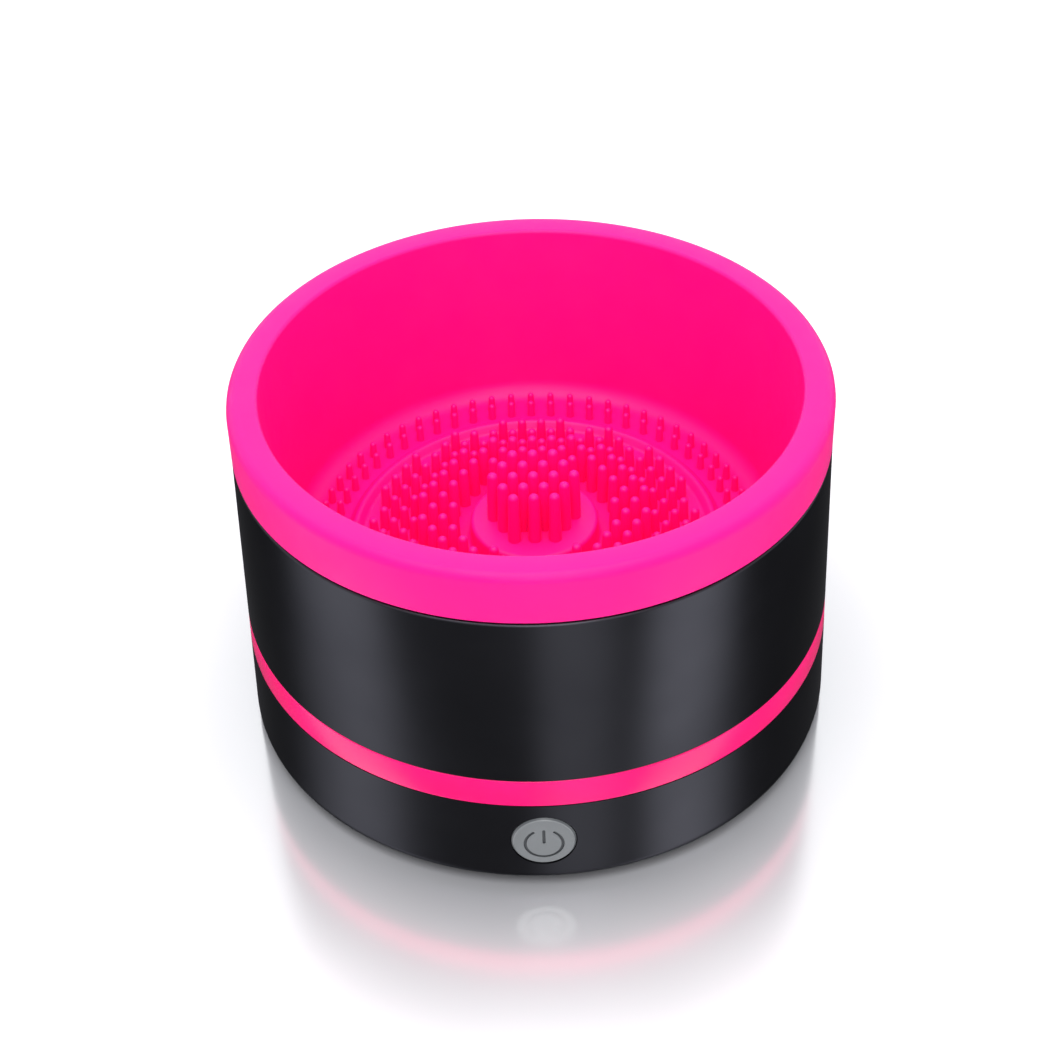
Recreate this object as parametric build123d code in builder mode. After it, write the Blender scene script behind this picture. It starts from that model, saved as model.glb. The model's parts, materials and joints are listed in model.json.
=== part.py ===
"""Electric brush cleaner: a silicone bowl, spun by a geared motor inside a round housing.

Millimetres, +Z up. The origin is on the table under the bowl's axis.
The button faces -Y, the charging port +Y. Each sub-part is written to parts/NAME.step.
"""

import os
from math import acos, atan2, cos, degrees, pi, radians, sin, sqrt, tan

from build123d import *

# ---------------------------------------------------------------- overall sizes
total_height = 78.5  # table to the top of the rim
rim_radius = 59.0  # outside of the silicone skirt, and of the sleeve's top edge
base_spread = 1.5  # how much wider the base is, from the draft
skin_wall = 2.0  # sleeve, accent ring and base

# ---------------------------------------------------------------- silicone bowl
skirt_height = 11.0
skirt_wall = 1.6
rim_width = 6.15  # mouth to skirt, across the flat top
rim_thickness = 2.4
rim_round = 2.0
mouth_radius = rim_radius - rim_width
bowl_wall = 1.8
bowl_floor = 2.6
bowl_draft = 5.4  # degrees, so that the bowl leaves its mould
bowl_corner = 3.5
ridge_inset = 12.1  # a smooth ridge between the bristles and the edge pins, in from the floor's edge
ridge_height = 2.2
ridge_width = 3.2

bristle_pitch = 4.1
bristle_inset = 3.5  # from the ridge to the bristle field
long_bristle = (1.35, 11.5)  # radius at the root, height
medium_bristle = (1.2, 9.0)
short_bristle = (1.05, 5.5)
edge_pin = (0.8, 3.6)
short_band = 9.0  # width of the band of short bristles round the medium ones
bristle_taper = 0.8  # tip radius over root radius
edge_pin_rings = {8.1: 60, 5.1: 64}  # how far in from the floor's edge a ring is: pins in it

# ---------------------------------------------------------------- running clearances
spin_gap = 0.4  # between the spinning bowl and the housing
tub_gap = 0.8  # between the bowl's wall and the tub round it
seat_gap = 0.1  # between flat faces that come apart
running_gap = 0.05  # shaft in bush or gear on axle
fit_gap = 0.02  # parts pressed or keyed together
case_gap = 0.15  # between casings that fit into each other
drive_gap = 0.25  # between the drive boss and its socket

# ---------------------------------------------------------------- housing, from the table upwards
foot_proud = 1.2
foot_radius = 6.0
foot_pocket = 1.0
base_floor_wall = 2.0
base_round = 2.5
ring_bottom = 21.7  # the accent ring
ring_height = 6.6
ring_bevel = 0.45
tongue_wall = 1.6
tongue_rise = 2.5  # how far the base's tongue stands above the accent ring
tub_wall = 1.9
tub_flange_wall = 1.2
tub_flange_reach = 1.0
tub_corner = 4.0
shoulder_bevel = 0.4
feet_inset = 13.5  # from the base's outside to the middle of a foot

# ---------------------------------------------------------------- motor, a flat can with its shaft upwards
motor_radius = 12.2
motor_height = 12.5
motor_clearance = 1.3  # over the base's floor
motor_can_wall = 0.8
motor_cap_height = 2.0
motor_nose_radius = 3.0
motor_nose_height = 1.0
motor_shaft_radius = 1.0
motor_screw_circle = 8.0
magnet_wall = 2.0
magnet_gap = 0.5  # between magnets and armature
magnet_turn = 20.0  # where the gap between the magnets points, in plan
armature_gap = 0.5  # how far the windings stand out of the armature's stack
armature_height = 5.5
armature_poles = 3
commutator_radius = 2.6
commutator_height = 1.4
brush_side = 2.0
motor_bush_radius = 2.2
winding_length = 2.6
winding_width = 4.6
winding_place = 0.52  # how far out the windings' middles stand on the armature's arms
terminal_width = 2.0
terminal_length = 3.0
terminal_pitch = 6.0
terminal_sink = 1.0  # how far the terminals start inside the end cap

# ---------------------------------------------------------------- gears
gear_module = 0.7
pressure = radians(25)
backlash = 0.12  # taken off each tooth at the pitch circle
pinion_teeth = 14
idler_teeth = 42
output_teeth = 56
lower_face = 4.4  # face widths
upper_face = 4.0
gear_gap = 0.5  # between gears and what lies over or under them
web_hole = 3.0  # the holes in the output gear's web
web_holes = 6
web_place = 0.3  # where they stand, over the pitch diameter
idler_angle = 150.0  # where the idler stands round the bowl's axis
motor_distance = 26.0  # from the bowl's axis, clear of the output gear

# ---------------------------------------------------------------- shafts and what carries them
spindle_radius = 3.0
spindle_flat = 0.5
bush_wall = 1.5
bush_flange = 1.2
axle_radius = 1.5
plate_wall = 2.0
plate_land = 4.2  # plate round each post
post_radius = 3.0
post_gap = 1.2  # between a post and the teeth beside it
post_angles = (-35.0, 55.0, 255.0)  # where the posts stand round the output gear
outer_post_angle = 200.0  # where one more stands round the idler
deck_wall = 2.0
boss_wall = 2.2
seal_radius = 6.0
seal_height = 1.5
seal_cup_wall = 1.8
clip_radius = 4.6
clip_wall = 0.6
bush_drop = 5.0  # how far the lower bush hangs under the plate's top
upper_bush_drop = 0.9  # how far the upper bush hangs under the deck

# ---------------------------------------------------------------- turntable and drive
turntable_radius = 30.0
turntable_wall = 2.2
turntable_gap = 2.0  # over the deck
turntable_lip = 1.0  # how far its stiffening rim hangs
drive_radius = 7.0
drive_lobe = 1.8
drive_lobes = 6
drive_height = 4.4
socket_wall = 2.2
socket_roof = 0.9
socket_flange = 18.0
socket_flange_wall = 1.2

# ---------------------------------------------------------------- screws: radius, head radius, head height
case_screw = (1.5, 2.8, 2.0)
small_screw = (1.0, 1.9, 1.2)
case_screw_length = 18.0
small_screw_length = 5.0
case_screw_seat = 11.0  # height of the case screws' heads over the table
case_joint_z = 15.0  # where the base's bosses meet the tub's
case_screw_inset = 13.0  # in from the sleeve's top edge
boss_radius = 4.2

# ---------------------------------------------------------------- button, switch, board, port and cell
button_radius = 6.25
button_gap = 0.2
button_proud = 0.2
button_height = 12.4  # over the table
button_lip = 1.15  # how far the flange that keeps the button in reaches
button_travel = 0.5
button_rim = 1.2  # thickness of that flange
button_bevel = 0.45
icon_radius = 3.65
icon_drop = 0.5  # how far the icon's ring is centred under the button's middle
icon_bar = 3.85
icon_bar_rise = 1.3
icon_line = 0.6
icon_depth = 0.35
switch_side = 6.0
switch_depth = 3.4
plunger_radius = 1.6
plunger_length = 1.6
board_wall = 1.6
board_width = 34.0
board_length = 24.0
board_standoff = 3.0
port_width = 8.94
port_height = 3.26
port_depth = 7.4
plug_flange = (13.0, 7.0, 1.4)  # width, height and thickness
plug_sink = 0.35  # how far the port plug's face lies under the skin
cell_radius = 7.0
cell_length = 50.0
cell_x = 33.0
cradle_floor = 1.2
cradle_wall = 1.5
tab_width = 4.0
tab_wall = 0.3
icon_gap = 34.0  # half the angle left open at the top of the icon's ring
port_wall = 0.3
port_pad = 2.5  # how far the pad behind the port stands in from the wall
plug_stem = 3.0  # how far the plug reaches into the port
plug_corner = 2.5
rail_width = 4.0
rail_wall = 1.5
switch_board_width = 24.0
switch_board_height = 15.0
port_overhang = 1.7  # how far the port stands out over the main board's edge
board_post_x = 14.0
board_post_inset = 3.0
chip_x = 6.0
chip_side = 5.0
chip_height = 1.2
coil_side = 6.0
coil_height = 2.4
socket_x = (-9.0, 0.0, 9.0)  # where the leads' sockets stand on the board
socket_width = 5.5
socket_length = 4.0
socket_height = 3.4
socket_inset = 1.0  # from the board's inner edge to the sockets
wire_radius = 0.6
lead_bend = 1.5
lead_pitch = 2.6
lead_run = 6.0
lead_height = 12.0
lead_low = 6.0
switch_lead_x = 5.0
cell_lane_x = 20.0

# ---------------------------------------------------------------- heights worked out from the sizes above
base_floor_top = foot_proud + base_floor_wall
motor_bottom = base_floor_top + motor_clearance
plate_bottom = motor_bottom + motor_height
plate_top = plate_bottom + plate_wall
lower_gear_z = plate_top + gear_gap
upper_gear_z = lower_gear_z + lower_face + gear_gap
deck_bottom = upper_gear_z + upper_face + 3 * gear_gap
deck_top = deck_bottom + deck_wall
turntable_bottom = deck_top + turntable_gap
turntable_top = turntable_bottom + turntable_wall
seat_z = turntable_top + seat_gap
floor_z = seat_z + bowl_floor
socket_top = seat_z + drive_height + drive_gap + socket_roof
dome_top = socket_top + bowl_wall
skirt_bottom = total_height - skirt_height
shoulder_z = skirt_bottom - spin_gap
neck_top = total_height - rim_thickness - 1.5 * spin_gap
ring_top = ring_bottom + ring_height
tongue_top = ring_top + tongue_rise
bush_bottom = plate_top - bush_drop
upper_bush_bottom = deck_bottom - upper_bush_drop
clip_z = bush_bottom - seat_gap - clip_wall
spindle_bottom = clip_z - clip_wall
collar_z = plate_top + bush_flange + seat_gap
spindle_top = turntable_top + drive_height / 2
screw_seat_z = turntable_top + drive_height - small_screw[2] - seat_gap
board_top = base_floor_top + board_standoff + board_wall
port_z = board_top + port_height / 2
cell_z = base_floor_top + cradle_floor + cell_radius + seat_gap

# ---------------------------------------------------------------- radii worked out from the sizes above
base_radius = rim_radius + base_spread
feet_circle = base_radius - feet_inset
case_screw_circle = rim_radius - case_screw_inset
button_flange = button_radius + button_lip
neck_radius = rim_radius - skirt_wall - spin_gap
bowl_slope = tan(radians(bowl_draft))
floor_radius = mouth_radius - (total_height - floor_z) * bowl_slope
ridge_radius = floor_radius - ridge_inset
bristle_field = ridge_radius - bristle_inset
medium_field = bristle_field - short_band
socket_radius = drive_radius + drive_lobe + drive_gap + socket_wall
dome_radius = socket_radius + bowl_wall
spindle_bore = spindle_radius + running_gap
bush_radius = spindle_bore + bush_wall
boss_outer = bush_radius + boss_wall
journal_radius = spindle_radius - spindle_flat
journal_bore = journal_radius + running_gap
upper_bush_radius = journal_bore + bush_wall
tongue_radius = rim_radius - skin_wall - case_gap
rebate_radius = neck_radius + tub_flange_reach + case_gap
motor_inner = motor_radius - motor_can_wall
armature_radius = motor_inner - magnet_wall - magnet_gap
armature_bottom = motor_bottom + motor_cap_height + commutator_height + 3 * armature_gap
winding_reach = armature_radius * winding_place
brush_reach = commutator_radius + running_gap + brush_side / 2

# ---------------------------------------------------------------- where the axes stand, seen from above
idler_distance = gear_module * (output_teeth + pinion_teeth) / 2
pinion_distance = gear_module * (idler_teeth + pinion_teeth) / 2
motor_turn = acos(
    (idler_distance**2 + motor_distance**2 - pinion_distance**2) / (2 * idler_distance * motor_distance)
)
idler_at = Vector(idler_distance, 0).rotate(Axis.Z, idler_angle)
motor_at = Vector(motor_distance, 0).rotate(Axis.Z, idler_angle + degrees(motor_turn))
pinion_angle = degrees(atan2((motor_at - idler_at).Y, (motor_at - idler_at).X))
post_circle = gear_module * (output_teeth / 2 + 1) + post_radius + post_gap
outer_post_reach = gear_module * (idler_teeth / 2 + 1) + post_radius + post_gap
outer_post = idler_at + Vector(outer_post_reach, 0).rotate(Axis.Z, outer_post_angle)
posts = [Vector(post_circle, 0).rotate(Axis.Z, angle) for angle in post_angles] + [outer_post]
motor_screws = [
    motor_at + Vector(motor_screw_circle, 0).rotate(Axis.Z, pinion_angle + side) for side in (90, -90)
]
terminal_reach = motor_radius + terminal_length / 2 - terminal_sink
terminal_places = [motor_at + Vector(side * terminal_pitch / 2, terminal_reach) for side in (-1, 1)]
feet_places = [Vector(feet_circle, 0).rotate(Axis.Z, 90 * k) for k in range(4)]
switch_rail_x = switch_board_width / 2
case_screws = [Vector(case_screw_circle, 0).rotate(Axis.Z, 45 + 90 * k) for k in range(4)]

os.makedirs("parts", exist_ok=True)


def save(piece, name):
    """Label a finished sub-part and write it to its own STEP file."""
    piece.part.label = name
    export_step(piece.part, f"parts/{name}.step")


def skin(z):
    """Outside radius of the housing at a height."""
    return rim_radius + (base_radius - rim_radius) * (shoulder_z - z) / shoulder_z


def tub_inner(z):
    """Inside radius of the tub at a height, a gap outside the bowl's tapered wall."""
    return mouth_radius + bowl_wall + tub_gap - (total_height - z) * bowl_slope


def flat(at, z):
    """The point at that height over a place in the plan."""
    return Vector(at.X, at.Y, z)


def front(depth, z):
    """The upright plane that faces the user, at a distance from the bowl's axis and a height."""
    return Plane(origin=(0, -depth, z), x_dir=(1, 0, 0), z_dir=(0, -1, 0))


def back(depth, z):
    """The upright plane that faces away from the user, at a distance from the bowl's axis and a height."""
    return Plane(origin=(0, depth, z), x_dir=(-1, 0, 0), z_dir=(0, 1, 0))


def spin_profile(*points):
    """Turn a closed outline of (radius, height) points round the Z axis, into the part being built."""
    with BuildSketch(Plane.XZ) as outline:
        with BuildLine():
            Polyline(*points, close=True)
        make_face()
    revolve(outline.sketch, axis=Axis.Z)


def ring(outer, inner, bottom, height, mode=Mode.ADD):
    """A plain ring round the Z axis in the part being built, or a disc where it has no inner radius."""
    with BuildSketch(level(bottom)) as face:
        Circle(outer)
        if inner:
            Circle(inner, mode=Mode.SUBTRACT)
    extrude(face.sketch, amount=height, mode=mode)


def level(z):
    """The horizontal plane at a height, to sketch on."""
    return Plane.XY.offset(z)


# ---------------------------------------------------------------- button to switch, plug and board
button_face = skin(button_height) + button_proud
button_seat = sqrt((skin(button_height) - skin_wall) ** 2 - button_flange**2) - seat_gap
button_back = button_seat - button_rim
plunger_face = button_back - running_gap
switch_face = plunger_face - plunger_length
rail_depth = switch_face - switch_depth - board_wall / 2
switch_lead_y = rail_depth - board_wall / 2
plug_back = skin(port_z) - plug_sink - plug_flange[2]
port_mouth = skin(port_z) - skin_wall - port_pad - seat_gap
board_edge = port_mouth - port_overhang
board_y = board_edge - board_length / 2
board_posts = [
    Vector(x, y)
    for x in (-board_post_x, board_post_x)
    for y in (board_edge - board_post_inset, board_edge - board_length + board_post_inset)
]
lead_row_y = board_edge - board_length + socket_length / 2 + socket_inset


# ================================================================ gears
def tooth_half_angle(teeth, radius):
    """Half the angle that a tooth fills at a radius, in radians."""
    pitch_radius = gear_module * teeth / 2
    slope = acos(min(1, pitch_radius * cos(pressure) / radius))
    spread = (tan(pressure) - pressure) - (tan(slope) - slope)
    return pi / (2 * teeth) - backlash / (2 * pitch_radius) + spread


def gear_face(teeth, phase):
    """Fill the outline of a spur gear, with one tooth centred on the angle phase in degrees."""
    pitch_radius = gear_module * teeth / 2
    root = pitch_radius - 1.25 * gear_module
    tip = pitch_radius + gear_module
    form = max(root, pitch_radius * cos(pressure))
    half_form = tooth_half_angle(teeth, form)
    half_mid = tooth_half_angle(teeth, (form + tip) / 2)
    half_tip = tooth_half_angle(teeth, tip)

    def at(radius, angle):
        return (radius * cos(angle), radius * sin(angle))

    with BuildSketch() as outline:
        with BuildLine():
            for k in range(teeth):
                middle = radians(phase) + 2 * pi * k / teeth
                if form > root:
                    Line(at(root, middle - half_form), at(form, middle - half_form))
                    Line(at(form, middle + half_form), at(root, middle + half_form))
                flank_low = [at(form, middle + side * half_form) for side in (-1, 1)]
                flank_mid = [at((form + tip) / 2, middle + side * half_mid) for side in (-1, 1)]
                flank_high = [at(tip, middle + side * half_tip) for side in (-1, 1)]
                ThreePointArc(flank_low[0], flank_mid[0], flank_high[0])
                ThreePointArc(flank_high[0], at(tip, middle), flank_high[1])
                ThreePointArc(flank_high[1], flank_mid[1], flank_low[1])
                next_flank = 2 * pi / teeth - half_form
                valley = [at(root, middle + angle) for angle in (half_form, pi / teeth, next_flank)]
                ThreePointArc(*valley)
        make_face()
    add(outline.sketch)


def shaft_face(radius, cut, mode=Mode.ADD):
    """Fill a shaft's round section with one flat, cut that deep."""
    with BuildSketch(mode=Mode.PRIVATE) as section:
        Circle(radius)
        with Locations((radius, 0)):
            Rectangle(2 * cut, 4 * radius, mode=Mode.SUBTRACT)
    add(section.sketch, mode=mode)


def drive_face(grow):
    """Fill the lobed outline of the turntable's drive boss, grown all round."""
    Circle(drive_radius + grow)
    with PolarLocations(drive_radius, drive_lobes):
        Circle(drive_lobe + grow)


# ================================================================ silicone bowl, drive socket and bristles
with BuildPart() as silicone_bowl:
    with BuildSketch(Plane.XZ) as bowl_half:
        with BuildLine():
            Polyline(
                (0, dome_top),
                (dome_radius - bowl_wall / 2, dome_top),
                (dome_radius, floor_z),
                (ridge_radius - ridge_width / 2, floor_z),
            )
            ThreePointArc(
                (ridge_radius - ridge_width / 2, floor_z),
                (ridge_radius, floor_z + ridge_height),
                (ridge_radius + ridge_width / 2, floor_z),
            )
            Polyline(
                (ridge_radius + ridge_width / 2, floor_z),
                (floor_radius, floor_z),
                (mouth_radius, total_height),
                (rim_radius, total_height),
                (rim_radius, skirt_bottom),
                (rim_radius - skirt_wall, skirt_bottom),
                (rim_radius - skirt_wall, total_height - rim_thickness),
                (mouth_radius + bowl_wall - rim_thickness * bowl_slope, total_height - rim_thickness),
                (floor_radius + bowl_wall - bowl_floor * bowl_slope, seat_z),
                (socket_flange, seat_z),
                (socket_flange, seat_z + socket_flange_wall),
                (socket_radius, seat_z + socket_flange_wall),
                (socket_radius, socket_top),
                (0, socket_top),
                (0, dome_top),
            )
        make_face()
        outer_corner = bowl_half.vertices().group_by(Axis.Y)[0].sort_by(Axis.X)[-1]
        fillet(outer_corner, bowl_corner + bowl_wall)
        floor_corners = bowl_half.vertices().filter_by_position(Axis.Y, floor_z - fit_gap, floor_z + fit_gap)
        fillet(floor_corners.sort_by(Axis.X)[-1], bowl_corner)
        rim_corner = bowl_half.vertices().group_by(Axis.Y)[-1].sort_by(Axis.X)
        fillet(rim_corner[-1], rim_round)
        fillet(rim_corner[0], skirt_wall / 4)
    revolve(axis=Axis.Z)
save(silicone_bowl, "silicone_bowl")

with BuildPart() as drive_socket:
    with BuildSketch(level(seat_z)):
        Circle(socket_flange)
    extrude(amount=socket_flange_wall)
    with BuildSketch(level(seat_z)):
        Circle(socket_radius)
    extrude(amount=socket_top - seat_z)
    with BuildSketch(level(seat_z)):
        drive_face(drive_gap)
    extrude(amount=drive_height + drive_gap, mode=Mode.SUBTRACT)
save(drive_socket, "drive_socket")


row_pitch = bristle_pitch * sqrt(3) / 2
rows = range(-int(bristle_field / row_pitch) - 1, int(bristle_field / row_pitch) + 2)
field = [Vector((column + row % 2 / 2) * bristle_pitch, row * row_pitch) for row in rows for column in rows]
dome_places = [place for place in field if place.length < dome_radius - bowl_wall - long_bristle[0]]
medium_inner = dome_radius + medium_bristle[0] + bristle_taper
medium_places = [place for place in field if medium_inner < place.length < medium_field]
short_places = [place for place in field if medium_field <= place.length < bristle_field]
pin_rings = [PolarLocations(floor_radius - inset, count) for inset, count in edge_pin_rings.items()]
pin_places = [pin.position for places in pin_rings for pin in places]


def bristle_group(places, size, root_z):
    """Stand one round-tipped bristle at each place, and return them as one builder."""
    root, height = size
    tip = root * bristle_taper
    with BuildPart() as bristle:
        with BuildSketch(Plane.XZ):
            with BuildLine():
                Polyline((0, height), (0, 0), (root, 0), (tip, height - tip))
                RadiusArc((tip, height - tip), (0, height), -tip)
            make_face()
        revolve(axis=Axis.Z)
    with BuildPart() as group:
        with Locations(*[flat(place, root_z) for place in places]):
            add(bristle.part)
    return group


long_bristles = bristle_group(dome_places, long_bristle, dome_top)
save(long_bristles, "long_bristles")
medium_bristles = bristle_group(medium_places, medium_bristle, floor_z)
save(medium_bristles, "medium_bristles")
short_bristles = bristle_group(short_places, short_bristle, floor_z)
save(short_bristles, "short_bristles")
edge_pins = bristle_group(pin_places, edge_pin, floor_z)
save(edge_pins, "edge_pins")

# ================================================================ turntable, spindle and what carries them
with BuildPart() as turntable:
    with BuildSketch(level(turntable_bottom)):
        Circle(turntable_radius)
    extrude(amount=turntable_wall)
    with BuildSketch(level(turntable_bottom - turntable_lip)):
        Circle(turntable_radius)
        Circle(turntable_radius - skin_wall, mode=Mode.SUBTRACT)
    extrude(amount=turntable_lip)
    with BuildSketch(level(turntable_top)):
        drive_face(0)
    extrude(amount=drive_height)
    chamfer(turntable.faces().sort_by(Axis.Z)[-1].edges(), drive_lobe / 4)
    with BuildSketch(level(turntable_bottom)):
        shaft_face(journal_radius + fit_gap, spindle_flat)
    extrude(amount=spindle_top - turntable_bottom, mode=Mode.SUBTRACT)
    with Locations((0, 0, turntable_top + drive_height)):
        CounterBoreHole(
            small_screw[0] + fit_gap, small_screw[1] + case_gap, small_screw[2] + seat_gap, drive_height
        )
    with BuildSketch(level(turntable_bottom - turntable_lip)):
        with PolarLocations(turntable_radius * 2 / 3, drive_lobes):
            Circle(drive_lobe)
    extrude(amount=turntable_wall + turntable_lip, mode=Mode.SUBTRACT)
save(turntable, "turntable")

with BuildPart() as turntable_screw:
    with BuildSketch(Plane.XZ):
        with BuildLine():
            Polyline(
                (0, screw_seat_z - small_screw_length),
                (small_screw[0], screw_seat_z - small_screw_length),
                (small_screw[0], screw_seat_z),
                (small_screw[1], screw_seat_z),
                (small_screw[1], screw_seat_z + small_screw[2]),
                (0, screw_seat_z + small_screw[2]),
                close=True,
            )
        make_face()
    revolve(axis=Axis.Z)
save(turntable_screw, "turntable_screw")

with BuildPart() as output_spindle:
    with BuildSketch(Plane.XZ):
        with BuildLine():
            Polyline(
                (0, spindle_bottom),
                (spindle_radius, spindle_bottom),
                (spindle_radius, clip_z),
                (journal_radius, clip_z),
                (journal_radius, clip_z + clip_wall),
                (spindle_radius, clip_z + clip_wall),
                (spindle_radius, collar_z),
                (spindle_radius + bush_wall, collar_z),
                (spindle_radius + bush_wall, upper_gear_z),
                (spindle_radius, upper_gear_z),
                (spindle_radius, upper_gear_z + upper_face),
                (journal_radius, upper_gear_z + upper_face),
                (journal_radius, spindle_top),
                (0, spindle_top),
                close=True,
            )
        make_face()
    revolve(axis=Axis.Z)
    with BuildSketch(level(upper_gear_z)):
        with Locations((spindle_radius, 0)):
            Rectangle(2 * spindle_flat, 2 * spindle_radius)
    extrude(amount=upper_face, mode=Mode.SUBTRACT)
    with BuildSketch(level(turntable_bottom)):
        with Locations((journal_radius, 0)):
            Rectangle(2 * spindle_flat, 2 * spindle_radius)
    extrude(amount=spindle_top - turntable_bottom, mode=Mode.SUBTRACT)
    with BuildSketch(level(spindle_top)):
        Circle(small_screw[0])
    extrude(amount=-small_screw_length, mode=Mode.SUBTRACT)
save(output_spindle, "output_spindle")

with BuildPart() as output_gear:
    with BuildSketch(level(upper_gear_z)):
        gear_face(output_teeth, idler_angle)
        shaft_face(spindle_radius + fit_gap, spindle_flat, mode=Mode.SUBTRACT)
        with PolarLocations(gear_module * output_teeth * web_place, web_holes):
            Circle(web_hole, mode=Mode.SUBTRACT)
    extrude(amount=upper_face)
save(output_gear, "output_gear")

with BuildPart() as lower_bush:
    ring(bush_radius, spindle_bore, bush_bottom, bush_drop)
    ring(bush_radius + bush_wall, spindle_bore, plate_top, bush_flange)
save(lower_bush, "lower_bush")

with BuildPart() as upper_bush:
    ring(upper_bush_radius, journal_bore, upper_bush_bottom, deck_top - upper_bush_bottom)
save(upper_bush, "upper_bush")

with BuildPart() as spindle_seal:
    ring(seal_radius, journal_bore, deck_top, seal_height)
    ring(
        seal_radius - bush_wall / 2,
        upper_bush_radius,
        deck_top + seal_height / 2,
        seal_height / 2,
        mode=Mode.SUBTRACT,
    )
save(spindle_seal, "spindle_seal")

with BuildPart() as spindle_clip:
    ring(clip_radius, journal_radius, clip_z, clip_wall)
    with BuildSketch(level(clip_z)):
        with Locations((clip_radius, 0)):
            Rectangle(2 * clip_radius, 2 * journal_radius - clip_wall)
    extrude(amount=clip_wall, mode=Mode.SUBTRACT)
save(spindle_clip, "spindle_clip")

# ================================================================ idler and gearbox plate
with BuildPart() as idler_gear:
    with BuildSketch(level(lower_gear_z)):
        with Locations(idler_at):
            gear_face(idler_teeth, pinion_angle)
    extrude(amount=lower_face)
    with BuildSketch(level(lower_gear_z + lower_face)):
        with Locations(idler_at):
            gear_face(pinion_teeth, idler_angle + 180 + 180 / pinion_teeth)
    extrude(amount=gear_gap + upper_face)
    with BuildSketch(level(plate_top + seat_gap)):
        with Locations(idler_at):
            Circle(2 * axle_radius)
    extrude(amount=deck_bottom - plate_top - 2 * seat_gap)
    with BuildSketch(level(plate_top)):
        with Locations(idler_at):
            Circle(axle_radius + running_gap)
    extrude(amount=deck_bottom - plate_top, mode=Mode.SUBTRACT)
save(idler_gear, "idler_gear")

with BuildPart() as idler_axle:
    with BuildSketch(level(plate_bottom)):
        with Locations(idler_at):
            Circle(axle_radius)
    extrude(amount=deck_bottom + deck_wall / 2 - plate_bottom)
save(idler_axle, "idler_axle")

with BuildPart() as gearbox_plate:
    with BuildSketch(level(plate_bottom)):
        with Locations(*posts):
            Circle(plate_land)
        with Locations(motor_at):
            Circle(motor_radius + skin_wall / 2)
        make_hull()
    extrude(amount=plate_wall)
    ring(boss_outer, 0, bush_bottom, bush_drop)
    ring(bush_radius, 0, bush_bottom, bush_drop, mode=Mode.SUBTRACT)
    with BuildSketch(level(plate_bottom)):
        with Locations(idler_at):
            Circle(axle_radius)
        with Locations(motor_at):
            Circle(motor_nose_radius + fit_gap)
        with Locations(*posts, *motor_screws):
            Circle(small_screw[0] + fit_gap)
    extrude(amount=plate_wall, mode=Mode.SUBTRACT)
save(gearbox_plate, "gearbox_plate")


def screw_group(places, size, length, seat_z, up):
    """A screw at each place, its head on the face at seat_z; up is 1 or -1, the way its head points."""
    shank_radius, head_radius, head_height = size
    with BuildPart() as group:
        with BuildSketch(level(seat_z)):
            with Locations(*places):
                Circle(head_radius)
        extrude(amount=up * head_height)
        with BuildSketch(level(seat_z)):
            with Locations(*places):
                Circle(shank_radius)
        extrude(amount=-up * length)
        with BuildSketch(level(seat_z + up * head_height)):
            with Locations(*places):
                Rectangle(shank_radius * 2, shank_radius / 2)
                Rectangle(shank_radius / 2, shank_radius * 2)
        extrude(amount=-up * head_height / 2, mode=Mode.SUBTRACT)
    return group


plate_screws = screw_group(posts, small_screw, small_screw_length + plate_wall, plate_bottom, -1)
save(plate_screws, "plate_screws")
motor_screw_pair = screw_group(motor_screws, small_screw, plate_wall + motor_can_wall, plate_top, 1)
save(motor_screw_pair, "motor_screws")
case_screw_group = screw_group(case_screws, case_screw, case_screw_length, case_screw_seat, -1)
save(case_screw_group, "case_screws")

# ================================================================ motor
with BuildPart() as motor_can:
    with BuildSketch(level(motor_bottom + motor_cap_height)):
        with Locations(motor_at):
            Circle(motor_radius)
    extrude(amount=motor_height - motor_cap_height)
    with BuildSketch(level(motor_bottom + motor_cap_height)):
        with Locations(motor_at):
            Circle(motor_inner)
    extrude(amount=motor_height - motor_cap_height - motor_can_wall, mode=Mode.SUBTRACT)
    with BuildSketch(level(plate_bottom)):
        with Locations(motor_at):
            Circle(motor_nose_radius)
    extrude(amount=motor_nose_height)
    with BuildSketch(level(plate_bottom - motor_can_wall)):
        with Locations(motor_at):
            Circle(motor_bush_radius)
        with Locations(*motor_screws):
            Circle(small_screw[0])
    extrude(amount=motor_can_wall + motor_nose_height, mode=Mode.SUBTRACT)
save(motor_can, "motor_can")

with BuildPart() as motor_end_cap:
    with BuildSketch(level(motor_bottom)):
        with Locations(motor_at):
            Circle(motor_radius)
    extrude(amount=motor_cap_height)
    with BuildSketch(level(motor_bottom)):
        with Locations(motor_at):
            Circle(motor_bush_radius)
    extrude(amount=motor_cap_height, mode=Mode.SUBTRACT)
save(motor_end_cap, "motor_end_cap")

with BuildPart() as motor_bushes:
    with BuildSketch(level(motor_bottom)):
        with Locations(motor_at):
            Circle(motor_bush_radius)
            Circle(motor_shaft_radius + running_gap, mode=Mode.SUBTRACT)
    extrude(amount=motor_cap_height)
    with BuildSketch(level(plate_bottom - motor_can_wall)):
        with Locations(motor_at):
            Circle(motor_bush_radius)
            Circle(motor_shaft_radius + running_gap, mode=Mode.SUBTRACT)
    extrude(amount=motor_can_wall + motor_nose_height)
save(motor_bushes, "motor_bushes")

with BuildPart() as motor_magnets:
    with BuildSketch(level(armature_bottom - armature_gap)):
        with Locations(motor_at):
            Circle(motor_inner)
            Circle(motor_inner - magnet_wall, mode=Mode.SUBTRACT)
            Rectangle(2 * motor_radius, motor_radius / 2, rotation=magnet_turn, mode=Mode.SUBTRACT)
    extrude(amount=armature_height + 2 * armature_gap)
save(motor_magnets, "motor_magnets")

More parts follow.
